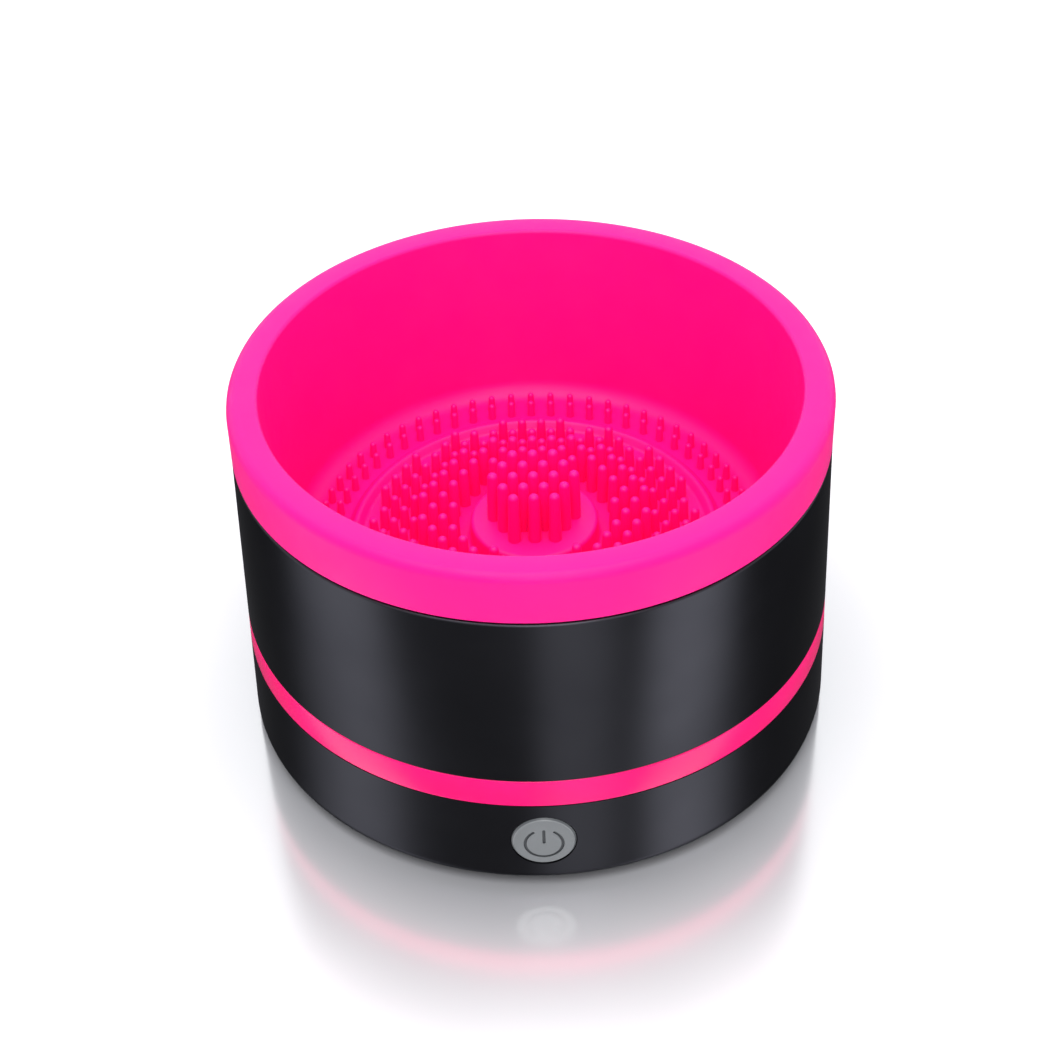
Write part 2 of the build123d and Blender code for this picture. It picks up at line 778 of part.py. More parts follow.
with BuildPart() as motor_armature:
    with BuildSketch(level(armature_bottom)):
        with Locations(motor_at):
            Circle(armature_radius)
            Circle(armature_radius - magnet_wall, mode=Mode.SUBTRACT)
            with PolarLocations(armature_radius, armature_poles, start_angle=180 / armature_poles):
                Rectangle(magnet_wall * 3, magnet_wall, mode=Mode.SUBTRACT)
            with PolarLocations(armature_radius / 2, armature_poles):
                Rectangle(armature_radius, magnet_wall)
            Circle(motor_shaft_radius + magnet_wall / 2)
            Circle(motor_shaft_radius, mode=Mode.SUBTRACT)
    extrude(amount=armature_height)
save(motor_armature, "motor_armature")

with BuildPart() as motor_windings:
    with BuildSketch(level(armature_bottom - armature_gap)):
        with Locations(motor_at):
            with PolarLocations(winding_reach, armature_poles):
                Rectangle(winding_length, winding_width)
    extrude(amount=armature_height + 2 * armature_gap)
    with BuildSketch(level(armature_bottom)):
        with Locations(motor_at):
            with PolarLocations(winding_reach, armature_poles):
                Rectangle(winding_length, magnet_wall)
    extrude(amount=armature_height, mode=Mode.SUBTRACT)
save(motor_windings, "motor_windings")

with BuildPart() as motor_commutator:
    with BuildSketch(level(motor_bottom + motor_cap_height + seat_gap)):
        with Locations(motor_at):
            Circle(commutator_radius)
            Circle(motor_shaft_radius, mode=Mode.SUBTRACT)
    extrude(amount=commutator_height)
save(motor_commutator, "motor_commutator")

with BuildPart() as motor_brushes:
    with BuildSketch(level(motor_bottom + motor_cap_height)):
        with Locations(motor_at):
            with PolarLocations(brush_reach, 2, start_angle=magnet_turn):
                Rectangle(brush_side, brush_side)
    extrude(amount=commutator_height)
save(motor_brushes, "motor_brushes")

with BuildPart() as motor_shaft:
    with BuildSketch(level(motor_bottom)):
        with Locations(motor_at):
            Circle(motor_shaft_radius)
    extrude(amount=lower_gear_z + lower_face - motor_bottom)
save(motor_shaft, "motor_shaft")

with BuildPart() as motor_pinion:
    with BuildSketch(level(lower_gear_z)):
        with Locations(motor_at):
            gear_face(pinion_teeth, pinion_angle + 180 + 180 / pinion_teeth)
            Circle(motor_shaft_radius, mode=Mode.SUBTRACT)
    extrude(amount=lower_face)
save(motor_pinion, "motor_pinion")

with BuildPart() as motor_terminals:
    with BuildSketch(level(motor_bottom + motor_cap_height / 2)):
        with Locations(*terminal_places):
            Rectangle(terminal_width, terminal_length)
    extrude(amount=motor_cap_height / 4)
    with BuildSketch(level(motor_bottom + motor_cap_height / 2)):
        with Locations(motor_at):
            Circle(motor_radius)
    extrude(amount=motor_cap_height / 4, mode=Mode.SUBTRACT)
save(motor_terminals, "motor_terminals")

# ================================================================ housing
with BuildPart() as inner_tub:
    with BuildSketch(Plane.XZ) as tub_half:
        with BuildLine():
            Polyline(
                (0, deck_bottom),
                (tub_inner(deck_bottom) + tub_wall, deck_bottom),
                (tub_inner(shoulder_z) + tub_wall, shoulder_z - tub_flange_wall),
                (neck_radius + tub_flange_reach, shoulder_z - tub_flange_wall),
                (neck_radius + tub_flange_reach, shoulder_z),
                (neck_radius, shoulder_z),
                (neck_radius, neck_top),
                (tub_inner(neck_top), neck_top),
                (tub_inner(deck_top), deck_top),
                (0, deck_top),
                close=True,
            )
        make_face()
        deck_corners = tub_half.vertices().filter_by_position(Axis.Y, deck_top - fit_gap, deck_top + fit_gap)
        fillet(deck_corners.sort_by(Axis.X)[-1], tub_corner)
        under_corner = tub_half.vertices().group_by(Axis.Y)[0].sort_by(Axis.X)[-1]
        fillet(under_corner, tub_corner + tub_wall)
    revolve(axis=Axis.Z)
    ring(seal_radius + seal_cup_wall, 0, deck_top, seal_height)
    ring(upper_bush_radius + bush_wall, 0, upper_bush_bottom, upper_bush_drop)
    ring(seal_radius, 0, deck_top, seal_height, mode=Mode.SUBTRACT)
    ring(upper_bush_radius, 0, upper_bush_bottom, deck_top - upper_bush_bottom, mode=Mode.SUBTRACT)
    with BuildSketch(level(plate_top)):
        with Locations(*posts):
            Circle(post_radius)
    extrude(amount=deck_bottom - plate_top)
    with BuildSketch(level(case_joint_z)):
        with Locations(*case_screws):
            Circle(boss_radius)
    extrude(amount=deck_bottom - case_joint_z)
    with BuildSketch(level(plate_top)):
        with Locations(*posts):
            Circle(small_screw[0])
    extrude(amount=small_screw_length, mode=Mode.SUBTRACT)
    with BuildSketch(level(case_joint_z)):
        with Locations(*case_screws):
            Circle(case_screw[0])
    extrude(amount=case_screw_seat + case_screw_length - case_joint_z, mode=Mode.SUBTRACT)
    with BuildSketch(level(deck_bottom)):
        with Locations(idler_at):
            Circle(axle_radius)
    extrude(amount=deck_wall / 2, mode=Mode.SUBTRACT)
save(inner_tub, "inner_tub")

with BuildPart() as upper_sleeve:
    spin_profile(
        (rim_radius - skin_wall, ring_top),
        (skin(ring_top), ring_top),
        (rim_radius, shoulder_z - shoulder_bevel),
        (rim_radius - shoulder_bevel, shoulder_z),
        (rebate_radius, shoulder_z),
        (rebate_radius, shoulder_z - tub_flange_wall),
        (rim_radius - skin_wall, shoulder_z - tub_flange_wall),
    )
save(upper_sleeve, "upper_sleeve")

with BuildPart() as accent_ring:
    spin_profile(
        (rim_radius - skin_wall, ring_bottom),
        (skin(ring_bottom) - ring_bevel, ring_bottom),
        (skin(ring_bottom + ring_bevel), ring_bottom + ring_bevel),
        (skin(ring_top - ring_bevel), ring_top - ring_bevel),
        (skin(ring_top) - ring_bevel, ring_top),
        (rim_radius - skin_wall, ring_top),
    )
save(accent_ring, "accent_ring")

with BuildPart() as base_shell:
    with BuildSketch(Plane.XZ) as base_half:
        with BuildLine():
            Polyline(
                (0, foot_proud),
                (skin(foot_proud), foot_proud),
                (skin(ring_bottom), ring_bottom),
                (tongue_radius, ring_bottom),
                (tongue_radius, tongue_top),
                (tongue_radius - tongue_wall, tongue_top),
                (tongue_radius - tongue_wall, ring_bottom - skin_wall),
                (skin(ring_bottom) - skin_wall, ring_bottom - 2 * skin_wall),
                (skin(base_floor_top) - skin_wall, base_floor_top),
                (0, base_floor_top),
                close=True,
            )
        make_face()
        fillet(base_half.vertices().group_by(Axis.Y)[0].sort_by(Axis.X)[-1], base_round)
    revolve(axis=Axis.Z)
    # the pad that the charging port's plug sinks into
    with BuildSketch(back(skin(port_z) - skin_wall / 2, port_z)):
        RectangleRounded(plug_flange[0] + 2 * skin_wall, plug_flange[1] + 2 * skin_wall, skin_wall)
    extrude(amount=-(port_pad + skin_wall / 2))
    # bosses for the case screws and the board
    with BuildSketch(level(base_floor_top)):
        with Locations(*case_screws):
            Circle(boss_radius)
    extrude(amount=case_joint_z - base_floor_top)
    with BuildSketch(level(base_floor_top)):
        with Locations(*board_posts):
            Circle(post_radius)
    extrude(amount=board_standoff)
    # rails that hold the switch board upright
    with BuildSketch(level(base_floor_top)):
        with Locations((switch_rail_x, -rail_depth), (-switch_rail_x, -rail_depth)):
            Rectangle(rail_width, board_wall + 2 * rail_wall)
    extrude(amount=button_height - base_floor_top)
    with BuildSketch(level(base_floor_top)):
        with Locations((0, -rail_depth)):
            Rectangle(switch_board_width + 2 * case_gap, board_wall + 2 * fit_gap)
    extrude(amount=button_height - base_floor_top, mode=Mode.SUBTRACT)
    # holes for the screws, from below and from above
    with BuildSketch(level(foot_proud)):
        with Locations(*case_screws):
            Circle(case_screw[1] + case_gap)
    extrude(amount=case_screw_seat - foot_proud, mode=Mode.SUBTRACT)
    with BuildSketch(level(case_screw_seat)):
        with Locations(*case_screws):
            Circle(case_screw[0] + fit_gap)
    extrude(amount=case_joint_z - case_screw_seat, mode=Mode.SUBTRACT)
    with BuildSketch(level(base_floor_top + board_standoff)):
        with Locations(*board_posts):
            Circle(small_screw[0])
    extrude(amount=-small_screw_length + board_wall, mode=Mode.SUBTRACT)
    # pockets for the feet
    with BuildSketch(level(foot_proud)):
        with Locations(*feet_places):
            Circle(foot_radius + fit_gap)
    extrude(amount=foot_pocket, mode=Mode.SUBTRACT)
    # the button's hole, and the well that its flange moves in
    with BuildSketch(front(skin(button_height) + skin_wall, button_height)):
        Circle(button_radius + button_gap)
    extrude(amount=-3 * skin_wall, mode=Mode.SUBTRACT)
    with BuildSketch(front(button_seat + seat_gap, button_height)):
        Circle(button_flange + case_gap)
    extrude(amount=-2 * skin_wall, mode=Mode.SUBTRACT)
    # the port's recess and the slot behind it
    with BuildSketch(back(plug_back, port_z)):
        RectangleRounded(plug_flange[0], plug_flange[1], plug_corner)
        offset(amount=case_gap)
    extrude(amount=2 * skin_wall, mode=Mode.SUBTRACT)
    with BuildSketch(back(plug_back, port_z)):
        SlotOverall(port_width, port_height)
    extrude(amount=-(port_pad + skin_wall), mode=Mode.SUBTRACT)
save(base_shell, "base_shell")

with BuildPart() as feet:
    with BuildSketch(level(0)):
        with Locations(*feet_places):
            Circle(foot_radius)
    extrude(amount=foot_proud + foot_pocket)
    chamfer(feet.faces().group_by(Axis.Z)[0].edges(), foot_proud / 3)
save(feet, "feet")

# ================================================================ button and its switch
with BuildPart() as power_button:
    with BuildSketch(front(button_back, button_height)):
        Circle(button_flange)
    extrude(amount=button_seat - button_back)
    with BuildSketch(front(button_seat, button_height)):
        Circle(button_radius)
    extrude(amount=button_face - button_seat)
    chamfer(power_button.faces().sort_by(Axis.Y)[0].edges(), button_bevel)
    with BuildSketch(front(button_face, button_height)):
        with BuildLine():
            CenterArc((0, -icon_drop), icon_radius, 90 + icon_gap, 360 - 2 * icon_gap)
            offset(amount=icon_line / 2)
        make_face()
        with Locations((0, icon_bar_rise)):
            SlotOverall(icon_bar, icon_line, rotation=90)
    extrude(amount=-icon_depth, mode=Mode.SUBTRACT)
save(power_button, "power_button")

with BuildPart() as switch_plunger:
    with BuildSketch(front(plunger_face, button_height)):
        Circle(plunger_radius)
    extrude(amount=-(plunger_length + switch_depth / 3))
save(switch_plunger, "switch_plunger")

with BuildPart() as tact_switch:
    with BuildSketch(front(switch_face, button_height)):
        Rectangle(switch_side, switch_side)
    extrude(amount=-switch_depth)
    with BuildSketch(front(switch_face, button_height)):
        Circle(plunger_radius + running_gap)
    extrude(amount=-(switch_depth / 3 + button_travel + seat_gap), mode=Mode.SUBTRACT)
save(tact_switch, "tact_switch")

with BuildPart() as switch_board:
    with BuildSketch(front(switch_face - switch_depth, base_floor_top)):
        Rectangle(switch_board_width, switch_board_height, align=(Align.CENTER, Align.MIN))
    extrude(amount=-board_wall)
save(switch_board, "switch_board")

# ================================================================ main board, charging port and cell
with BuildPart() as main_board:
    with BuildSketch(level(board_top - board_wall)):
        with Locations((0, board_y)):
            RectangleRounded(board_width, board_length, board_wall)
        with Locations(*board_posts):
            Circle(small_screw[0] + fit_gap, mode=Mode.SUBTRACT)
    extrude(amount=board_wall)
save(main_board, "main_board")

board_screw_group = screw_group(board_posts, small_screw, small_screw_length, board_top, 1)
save(board_screw_group, "board_screws")

with BuildPart() as charging_port:
    with BuildSketch(back(port_mouth, port_z)):
        SlotOverall(port_width, port_height)
        SlotOverall(port_width - 2 * port_wall, port_height - 2 * port_wall, mode=Mode.SUBTRACT)
    extrude(amount=-port_depth)
    with BuildSketch(back(port_mouth - port_depth, port_z)):
        SlotOverall(port_width, port_height)
    extrude(amount=port_wall)
    with BuildSketch(back(port_mouth - port_depth, port_z)):
        Rectangle(port_width * 2 / 3, port_wall * 2)
    extrude(amount=port_depth - plug_stem - seat_gap)
save(charging_port, "charging_port")

with BuildPart() as port_plug:
    with BuildSketch(back(plug_back + seat_gap, port_z)):
        RectangleRounded(plug_flange[0], plug_flange[1], plug_corner)
    extrude(amount=plug_flange[2])
    chamfer(port_plug.faces().sort_by(Axis.Y)[-1].edges(), plug_sink)
    with BuildSketch(back(plug_back + seat_gap, port_z)):
        SlotOverall(port_width - 2 * port_wall - 2 * seat_gap, port_height - 2 * port_wall - 2 * seat_gap)
    extrude(amount=-(plug_back + seat_gap - port_mouth + plug_stem))
save(port_plug, "port_plug")

with BuildPart() as control_chip:
    with BuildSketch(level(board_top)):
        with Locations((chip_x, board_y)):
            Rectangle(chip_side, chip_side)
    extrude(amount=chip_height)
save(control_chip, "control_chip")

with BuildPart() as charge_coil:
    with BuildSketch(level(board_top)):
        with Locations((-chip_x, board_y)):
            RectangleRounded(coil_side, coil_side, chip_height / 2)
    extrude(amount=coil_height)
save(charge_coil, "charge_coil")

with BuildPart() as lead_sockets:
    with BuildSketch(level(board_top)):
        with Locations(*[(x, lead_row_y) for x in socket_x]):
            Rectangle(socket_width, socket_length)
    extrude(amount=socket_height)
save(lead_sockets, "lead_sockets")

with BuildPart() as cell:
    with BuildSketch(back(-cell_length / 2, cell_z)):
        with Locations((-cell_x, 0)):
            Circle(cell_radius)
    extrude(amount=cell_length)
save(cell, "cell")

with BuildPart() as cell_tabs:
    for end in (-1, 1):
        with BuildSketch(back(end * cell_length / 2, cell_z)):
            with Locations((-cell_x, 0)):
                Rectangle(tab_width, tab_width)
        extrude(amount=end * tab_wall)
save(cell_tabs, "cell_tabs")

with BuildPart() as cell_cradle:
    with BuildSketch(level(base_floor_top)):
        with Locations((cell_x, 0)):
            RectangleRounded(2 * (cell_radius + cradle_wall), cell_length - 2 * tab_width, cradle_wall)
    extrude(amount=cell_z - base_floor_top)
    with BuildSketch(back(-cell_length / 2, cell_z)):
        with Locations((-cell_x, 0)):
            Circle(cell_radius + fit_gap)
    extrude(amount=cell_length, mode=Mode.SUBTRACT)
save(cell_cradle, "cell_cradle")


# ================================================================ leads
def lead(name, *route):
    """A wire along straight runs with rounded corners, through the points of its route."""
    with BuildPart() as wire:
        with BuildLine() as path:
            FilletPolyline(*route, radius=lead_bend)
        with BuildSketch(Plane(origin=path.line @ 0, z_dir=path.line % 0)):
            Circle(wire_radius)
        sweep()
    save(wire, name)


motor_left = terminal_places[0]
motor_right = terminal_places[1]
terminal_top = motor_bottom + motor_cap_height / 2 + motor_cap_height / 4
socket_mid = board_top + socket_height / 2
socket_front = lead_row_y - socket_length / 2
lead(
    "motor_lead_black",
    flat(motor_left, terminal_top),
    flat(motor_left, lead_height),
    (socket_x[0] - lead_pitch / 2, socket_front - lead_run, socket_mid),
    (socket_x[0] - lead_pitch / 2, socket_front, socket_mid),
)
lead(
    "motor_lead_red",
    flat(motor_right, terminal_top),
    flat(motor_right, lead_height),
    (socket_x[0] + lead_pitch / 2, socket_front - lead_run, socket_mid),
    (socket_x[0] + lead_pitch / 2, socket_front, socket_mid),
)
lead(
    "switch_leads",
    (switch_lead_x, -switch_lead_y, lead_low),
    (switch_lead_x, lead_run / 2 - switch_lead_y, lead_low),
    (socket_x[1], 0, lead_low),
    (socket_x[1], socket_front - lead_run, socket_mid),
    (socket_x[1], socket_front, socket_mid),
)
lead(
    "cell_lead_red",
    (cell_x, cell_length / 2 + tab_wall, cell_z + tab_width / 4),
    (cell_x, cell_length / 2 + lead_run / 3, cell_z + tab_width / 4),
    (socket_x[2] + lead_pitch / 2, socket_front - lead_run / 2, socket_mid),
    (socket_x[2] + lead_pitch / 2, socket_front, socket_mid),
)
lead(
    "cell_lead_black",
    (cell_x, -cell_length / 2 - tab_wall, cell_z),
    (cell_x, -cell_length / 2 - lead_run / 2, cell_z),
    (cell_lane_x, -cell_length / 2, socket_mid),
    (cell_lane_x, socket_front - lead_run * 3 / 2, socket_mid),
    (socket_x[2] - lead_pitch / 2, socket_front - lead_run, socket_mid),
    (socket_x[2] - lead_pitch / 2, socket_front, socket_mid),
)
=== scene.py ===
"""Electric brush cleaner: the pieces that show, their finishes, and the studio that they stand in.

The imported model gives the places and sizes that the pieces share. Each sub-assembly below adds the
shapes of a finished moulding. Sizes are in millimetres, and turn to metres where a mesh is finished.
"""

import json
import logging
import math
from dataclasses import dataclass, field
from enum import Enum

import bmesh
import bpy
from mathutils import Matrix, Vector


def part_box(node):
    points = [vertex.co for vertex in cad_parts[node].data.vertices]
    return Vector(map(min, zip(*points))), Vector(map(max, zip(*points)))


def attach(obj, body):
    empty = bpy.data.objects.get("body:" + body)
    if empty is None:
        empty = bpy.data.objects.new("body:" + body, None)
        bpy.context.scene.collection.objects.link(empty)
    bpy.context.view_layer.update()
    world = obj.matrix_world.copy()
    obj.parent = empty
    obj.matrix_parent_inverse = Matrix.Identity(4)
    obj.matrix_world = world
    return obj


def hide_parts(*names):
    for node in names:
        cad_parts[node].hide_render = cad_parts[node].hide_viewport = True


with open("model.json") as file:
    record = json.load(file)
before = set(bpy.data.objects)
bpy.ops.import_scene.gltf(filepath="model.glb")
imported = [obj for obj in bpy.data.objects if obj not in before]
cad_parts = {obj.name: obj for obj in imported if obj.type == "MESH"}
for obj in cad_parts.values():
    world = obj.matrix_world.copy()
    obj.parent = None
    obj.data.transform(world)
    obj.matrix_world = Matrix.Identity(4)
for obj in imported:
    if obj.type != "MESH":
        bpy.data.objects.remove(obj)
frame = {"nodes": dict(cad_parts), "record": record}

log = logging.getLogger("brush_cleaner")

MM = 0.001
FULL_TURN = 2 * math.pi
ROUND_STEPS = 192  # facets round a large turned piece
CORNER_STEPS = 5  # facets round a moulded corner
SMOOTH_ANGLE = math.radians(32)
SAME_POINT = 1e-4  # points closer than this become one, in millimetres
SHORTEST_EDGE = 1e-5  # shorter edges are dropped, in millimetres
NOISE_LOW = 0.3  # nearly all of a noise lies between this and NOISE_HIGH
NOISE_MIDDLE = 0.35  # the low end for patches that cover a little less
NOISE_HIGH = 0.7
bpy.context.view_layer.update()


class Length(Enum):
    """The four kinds of bristle that the bowl's floor carries, by their nodes in the frame."""

    LONG = "long_bristles"
    MEDIUM = "medium_bristles"
    SHORT = "short_bristles"
    EDGE = "edge_pins"


# ---------------------------------------------------------------- colour and nodes


def linear(hex_colour: str) -> tuple[float, float, float, float]:
    """Turn an sRGB hex colour to linear.

    Args:
        hex_colour: six hex digits, such as "FF1696".

    Returns:
        Linear red, green, blue and an alpha of one.
    """
    parts = [int(hex_colour[k : k + 2], 16) / 255 for k in (0, 2, 4)]
    channels = [c / 12.92 if c <= 0.04045 else ((c + 0.055) / 1.055) ** 2.4 for c in parts]
    return (channels[0], channels[1], channels[2], 1.0)


def socket_name(word: str) -> str:
    """Turn a keyword to a socket's name.

    Args:
        word: lower case with underscores, such as "coat_weight" or "ior".

    Returns:
        The name as the node gives it.
    """
    return word.replace("_", " ").title().replace("Ior", "IOR")


def add_node(
    tree: bpy.types.NodeTree,
    kind: str,
    settings: dict[str, object] | None = None,
    links: dict[str | int, bpy.types.NodeSocket] | None = None,
    **sockets: object,
) -> bpy.types.Node:
    """Add a node with its settings, its fixed inputs and its links.

    Args:
        tree: the node tree that it joins.
        kind: the node's type name, without "ShaderNode".
        settings: the node's own properties.
        links: an input's name or number, and the output that feeds it.
        **sockets: an input's name, in lower case with underscores, and its fixed value.

    Returns:
        The new node.
    """
    node = tree.nodes.new("ShaderNode" + kind)
    for name, value in (settings or {}).items():
        setattr(node, name, value)
    for name, value in sockets.items():
        node.inputs[socket_name(name)].default_value = value
    for name, output in (links or {}).items():
        tree.links.new(output, node.inputs[name])
    return node


@dataclass
class Surface:
    """A new material, its shader and its object coordinates in millimetres."""

    name: str
    material: bpy.types.Material = field(init=False)
    shader: bpy.types.Node = field(init=False)
    millimetres: bpy.types.Node = field(init=False)

    def __post_init__(self) -> None:
        """Make the material with one shader and one mapping."""
        self.material = bpy.data.materials.new(self.name)
        self.material.use_nodes = True
        self.shader = self.tree.nodes["Principled BSDF"]
        place = add_node(self.tree, "TexCoord")
        self.millimetres = add_node(
            self.tree, "Mapping", links={"Vector": place.outputs["Object"]}, scale=(1 / MM, 1 / MM, 1 / MM)
        )

    @property
    def tree(self) -> bpy.types.NodeTree:
        """The material's node tree.

        Returns:
            The tree that holds the shader.
        """
        return self.material.node_tree

    def fix(self, **values: object) -> None:
        """Set constants on the shader's own sockets.

        Args:
            **values: a socket's name, in lower case with underscores, and its value.
        """
        for name, value in values.items():
            self.shader.inputs[socket_name(name)].default_value = value

    def noise(self, size_mm: float, detail: float = 2.0, roughness: float = 0.5) -> bpy.types.NodeSocket:
        """A noise whose lumps are about size_mm across.

        Args:
            size_mm: the size of one lump.
            detail: how many finer layers it has.
            roughness: how strong the finer layers are.

        Returns:
            The noise's value, about one half on average.
        """
        node = add_node(
            self.tree,
            "TexNoise",
            links={"Vector": self.millimetres.outputs[0]},
            scale=1 / size_mm,
            detail=detail,
            roughness=roughness,
        )
        return node.outputs[0]

    def ramp(
        self, value: bpy.types.NodeSocket, low: float, high: float, start: float, end: float
    ) -> bpy.types.NodeSocket:
        """Map a value from low..high to start..end, held at both ends.

        Args:
            value: the socket to map.
            low: the value that gives start.
            high: the value that gives end.
            start: the result at low.
            end: the result at high.

        Returns:
            The mapped value.
        """
        node = add_node(
            self.tree, "MapRange", {"clamp": True}, {"Value": value},
            from_min=low, from_max=high, to_min=start, to_max=end,
        )
        return node.outputs[0]

    def patches(
        self, size_mm: float, start: float, end: float, detail: float = 2.0, low: float = NOISE_LOW
    ) -> bpy.types.NodeSocket:
        """Soft patches that run from one value to another.

        Args:
            size_mm: the size of one patch.
            start: the value where the noise is low.
            end: the value where the noise is high.
            detail: how many finer layers the noise has.
            low: the noise that gives start.

        Returns:
            The value.
        """
        return self.ramp(self.noise(size_mm, detail), low, NOISE_HIGH, start, end)

    def mix(self, factor: bpy.types.NodeSocket, first: object, second: object) -> bpy.types.NodeSocket:
        """Mix two colours.

        Args:
            factor: how much of the second shows.
            first: a colour or a socket.
            second: a colour or a socket.

        Returns:
            The mixed colour.
        """
        node = add_node(self.tree, "Mix", {"data_type": "RGBA"}, {"Factor": factor})
        for socket, colour in zip((node.inputs[6], node.inputs[7]), (first, second)):
            if isinstance(colour, bpy.types.NodeSocket):
                self.tree.links.new(colour, socket)
            else:
                socket.default_value = colour
        return node.outputs[2]

    def math(self, operation: str, first: object, second: object = 0.0) -> bpy.types.NodeSocket:
        """Combine two numbers.

        Args:
            operation: the node's operation, such as "MULTIPLY".
            first: a number or a socket.
            second: a number or a socket.

        Returns:
            The result.
        """
        node = add_node(self.tree, "Math", {"operation": operation})
        for socket, value in zip(node.inputs, (first, second)):
            if isinstance(value, bpy.types.NodeSocket):
                self.tree.links.new(value, socket)
            else:
                socket.default_value = value
        return node.outputs[0]

    def link(self, socket: str, output: bpy.types.NodeSocket) -> None:
        """Feed one of the shader's sockets.

        Args:
            socket: the socket's name.
            output: what feeds it.
        """
        self.tree.links.new(output, self.shader.inputs[socket])

    def bump(self, height: bpy.types.NodeSocket, depth_mm: float, strength: float = 1.0) -> None:
        """Feed the shader's normal from a height.

        Args:
            height: the height's socket, from zero to one.
            depth_mm: how deep one unit of height is.
            strength: how much of it shows.
        """
        distance = depth_mm * MM
        node = add_node(self.tree, "Bump", links={"Height": height}, strength=strength, distance=distance)
        self.link("Normal", node.outputs[0])

    def axis(self, name: str) -> bpy.types.NodeSocket:
        """One object coordinate in millimetres.

        Args:
            name: "X", "Y" or "Z".

        Returns:
            The coordinate.
        """
        node = add_node(self.tree, "SeparateXYZ", links={"Vector": self.millimetres.outputs[0]})
        return node.outputs[name]


# ---------------------------------------------------------------- finishes


@dataclass(frozen=True)
class Silicone:
    """Liquid silicone rubber from a polished mould: satin gloss, light that soaks in, a fine dry bloom."""

    colour: str = "FF0886"
    bloom: str = "FF148C"
    bloom_mm: float = 14.0
    bloom_share: float = 0.22
    roughness: float = 0.42
    smoother: float = 0.05
    duller: float = 0.06
    gloss_patch_mm: float = 6.0
    patch_detail: float = 3.0
    grain_mm: float = 0.35
    grain_depth_mm: float = 0.012
    grain_roughness: float = 0.6
    grain_strength: float = 0.5
    soak: float = 0.12
    soak_reach: tuple[float, float, float] = (1.0, 0.25, 0.4)  # red light goes furthest
    soak_depth_mm: float = 1.2
    ior: float = 1.41
    gloss_level: float = 0.26

    def material(self) -> bpy.types.Material:
        """Build the material.

        Returns:
            The finished material.
        """
        surface = Surface("pink_silicone")
        drift = surface.patches(self.bloom_mm, 0.0, self.bloom_share, self.patch_detail, NOISE_MIDDLE)
        surface.link("Base Color", surface.mix(drift, linear(self.colour), linear(self.bloom)))
        least, most = self.roughness - self.smoother, self.roughness + self.duller
        surface.link("Roughness", surface.patches(self.gloss_patch_mm, least, most, self.patch_detail))
        grain = surface.noise(self.grain_mm, self.patch_detail, self.grain_roughness)
        surface.bump(grain, self.grain_depth_mm, self.grain_strength)
        surface.fix(
            subsurface_weight=self.soak,
            subsurface_radius=self.soak_reach,
            subsurface_scale=self.soak_depth_mm * MM,
            ior=self.ior,
            specular_ior_level=self.gloss_level,
        )
        return surface.material


@dataclass(frozen=True)
class Moulded:
    """Injection-moulded plastic: the grain of a spark-eroded mould, faint tone drift and uneven gloss."""

    name: str
    colour: str
    roughness: float
    grain_mm: float = 0.4
    grain_depth_mm: float = 0.01
    coat: float = 0.0
    ior: float = 1.53
    glow: float = 0.0
    gloss_level: float = 0.5
    unevenness: float = 0.045
    drift: float = 0.18
    lift: float = 0.002  # what the palest tone adds to the darkest colours
    tone_patch_mm: float = 18.0
    tone_detail: float = 3.0
    gloss_patch_mm: float = 3.5
    gloss_detail: float = 4.0
    grain_roughness: float = 0.55
    grain_strength: float = 0.6
    coat_roughness: float = 0.12
    glow_reach: tuple[float, float, float] = (1.0, 0.3, 0.4)
    glow_depth_mm: float = 1.0

    def surface(self) -> Surface:
        """Build the finish on a new surface.

        Returns:
            The surface, so that a marked piece can add to it.
        """
        surface = Surface(self.name)
        base = linear(self.colour)
        paler = tuple(min(1.0, channel * (1 + self.drift) + self.lift) for channel in base[:3]) + (1.0,)
        tone = surface.patches(self.tone_patch_mm, 0.0, 1.0, self.tone_detail, NOISE_MIDDLE)
        surface.link("Base Color", surface.mix(tone, base, paler))
        least, most = self.roughness - self.unevenness, self.roughness + self.unevenness
        surface.link("Roughness", surface.patches(self.gloss_patch_mm, least, most, self.gloss_detail))
        grain = surface.noise(self.grain_mm, self.tone_detail, self.grain_roughness)
        surface.bump(grain, self.grain_depth_mm, self.grain_strength)
        surface.fix(
            ior=self.ior,
            specular_ior_level=self.gloss_level,
            coat_weight=self.coat,
            coat_roughness=self.coat_roughness,
            subsurface_weight=self.glow,
        )
        if self.glow:
            surface.fix(subsurface_radius=self.glow_reach, subsurface_scale=self.glow_depth_mm * MM)
        return surface

    def material(self) -> bpy.types.Material:
        """Build the material.

        Returns:
            The finished material.
        """
        return self.surface().material


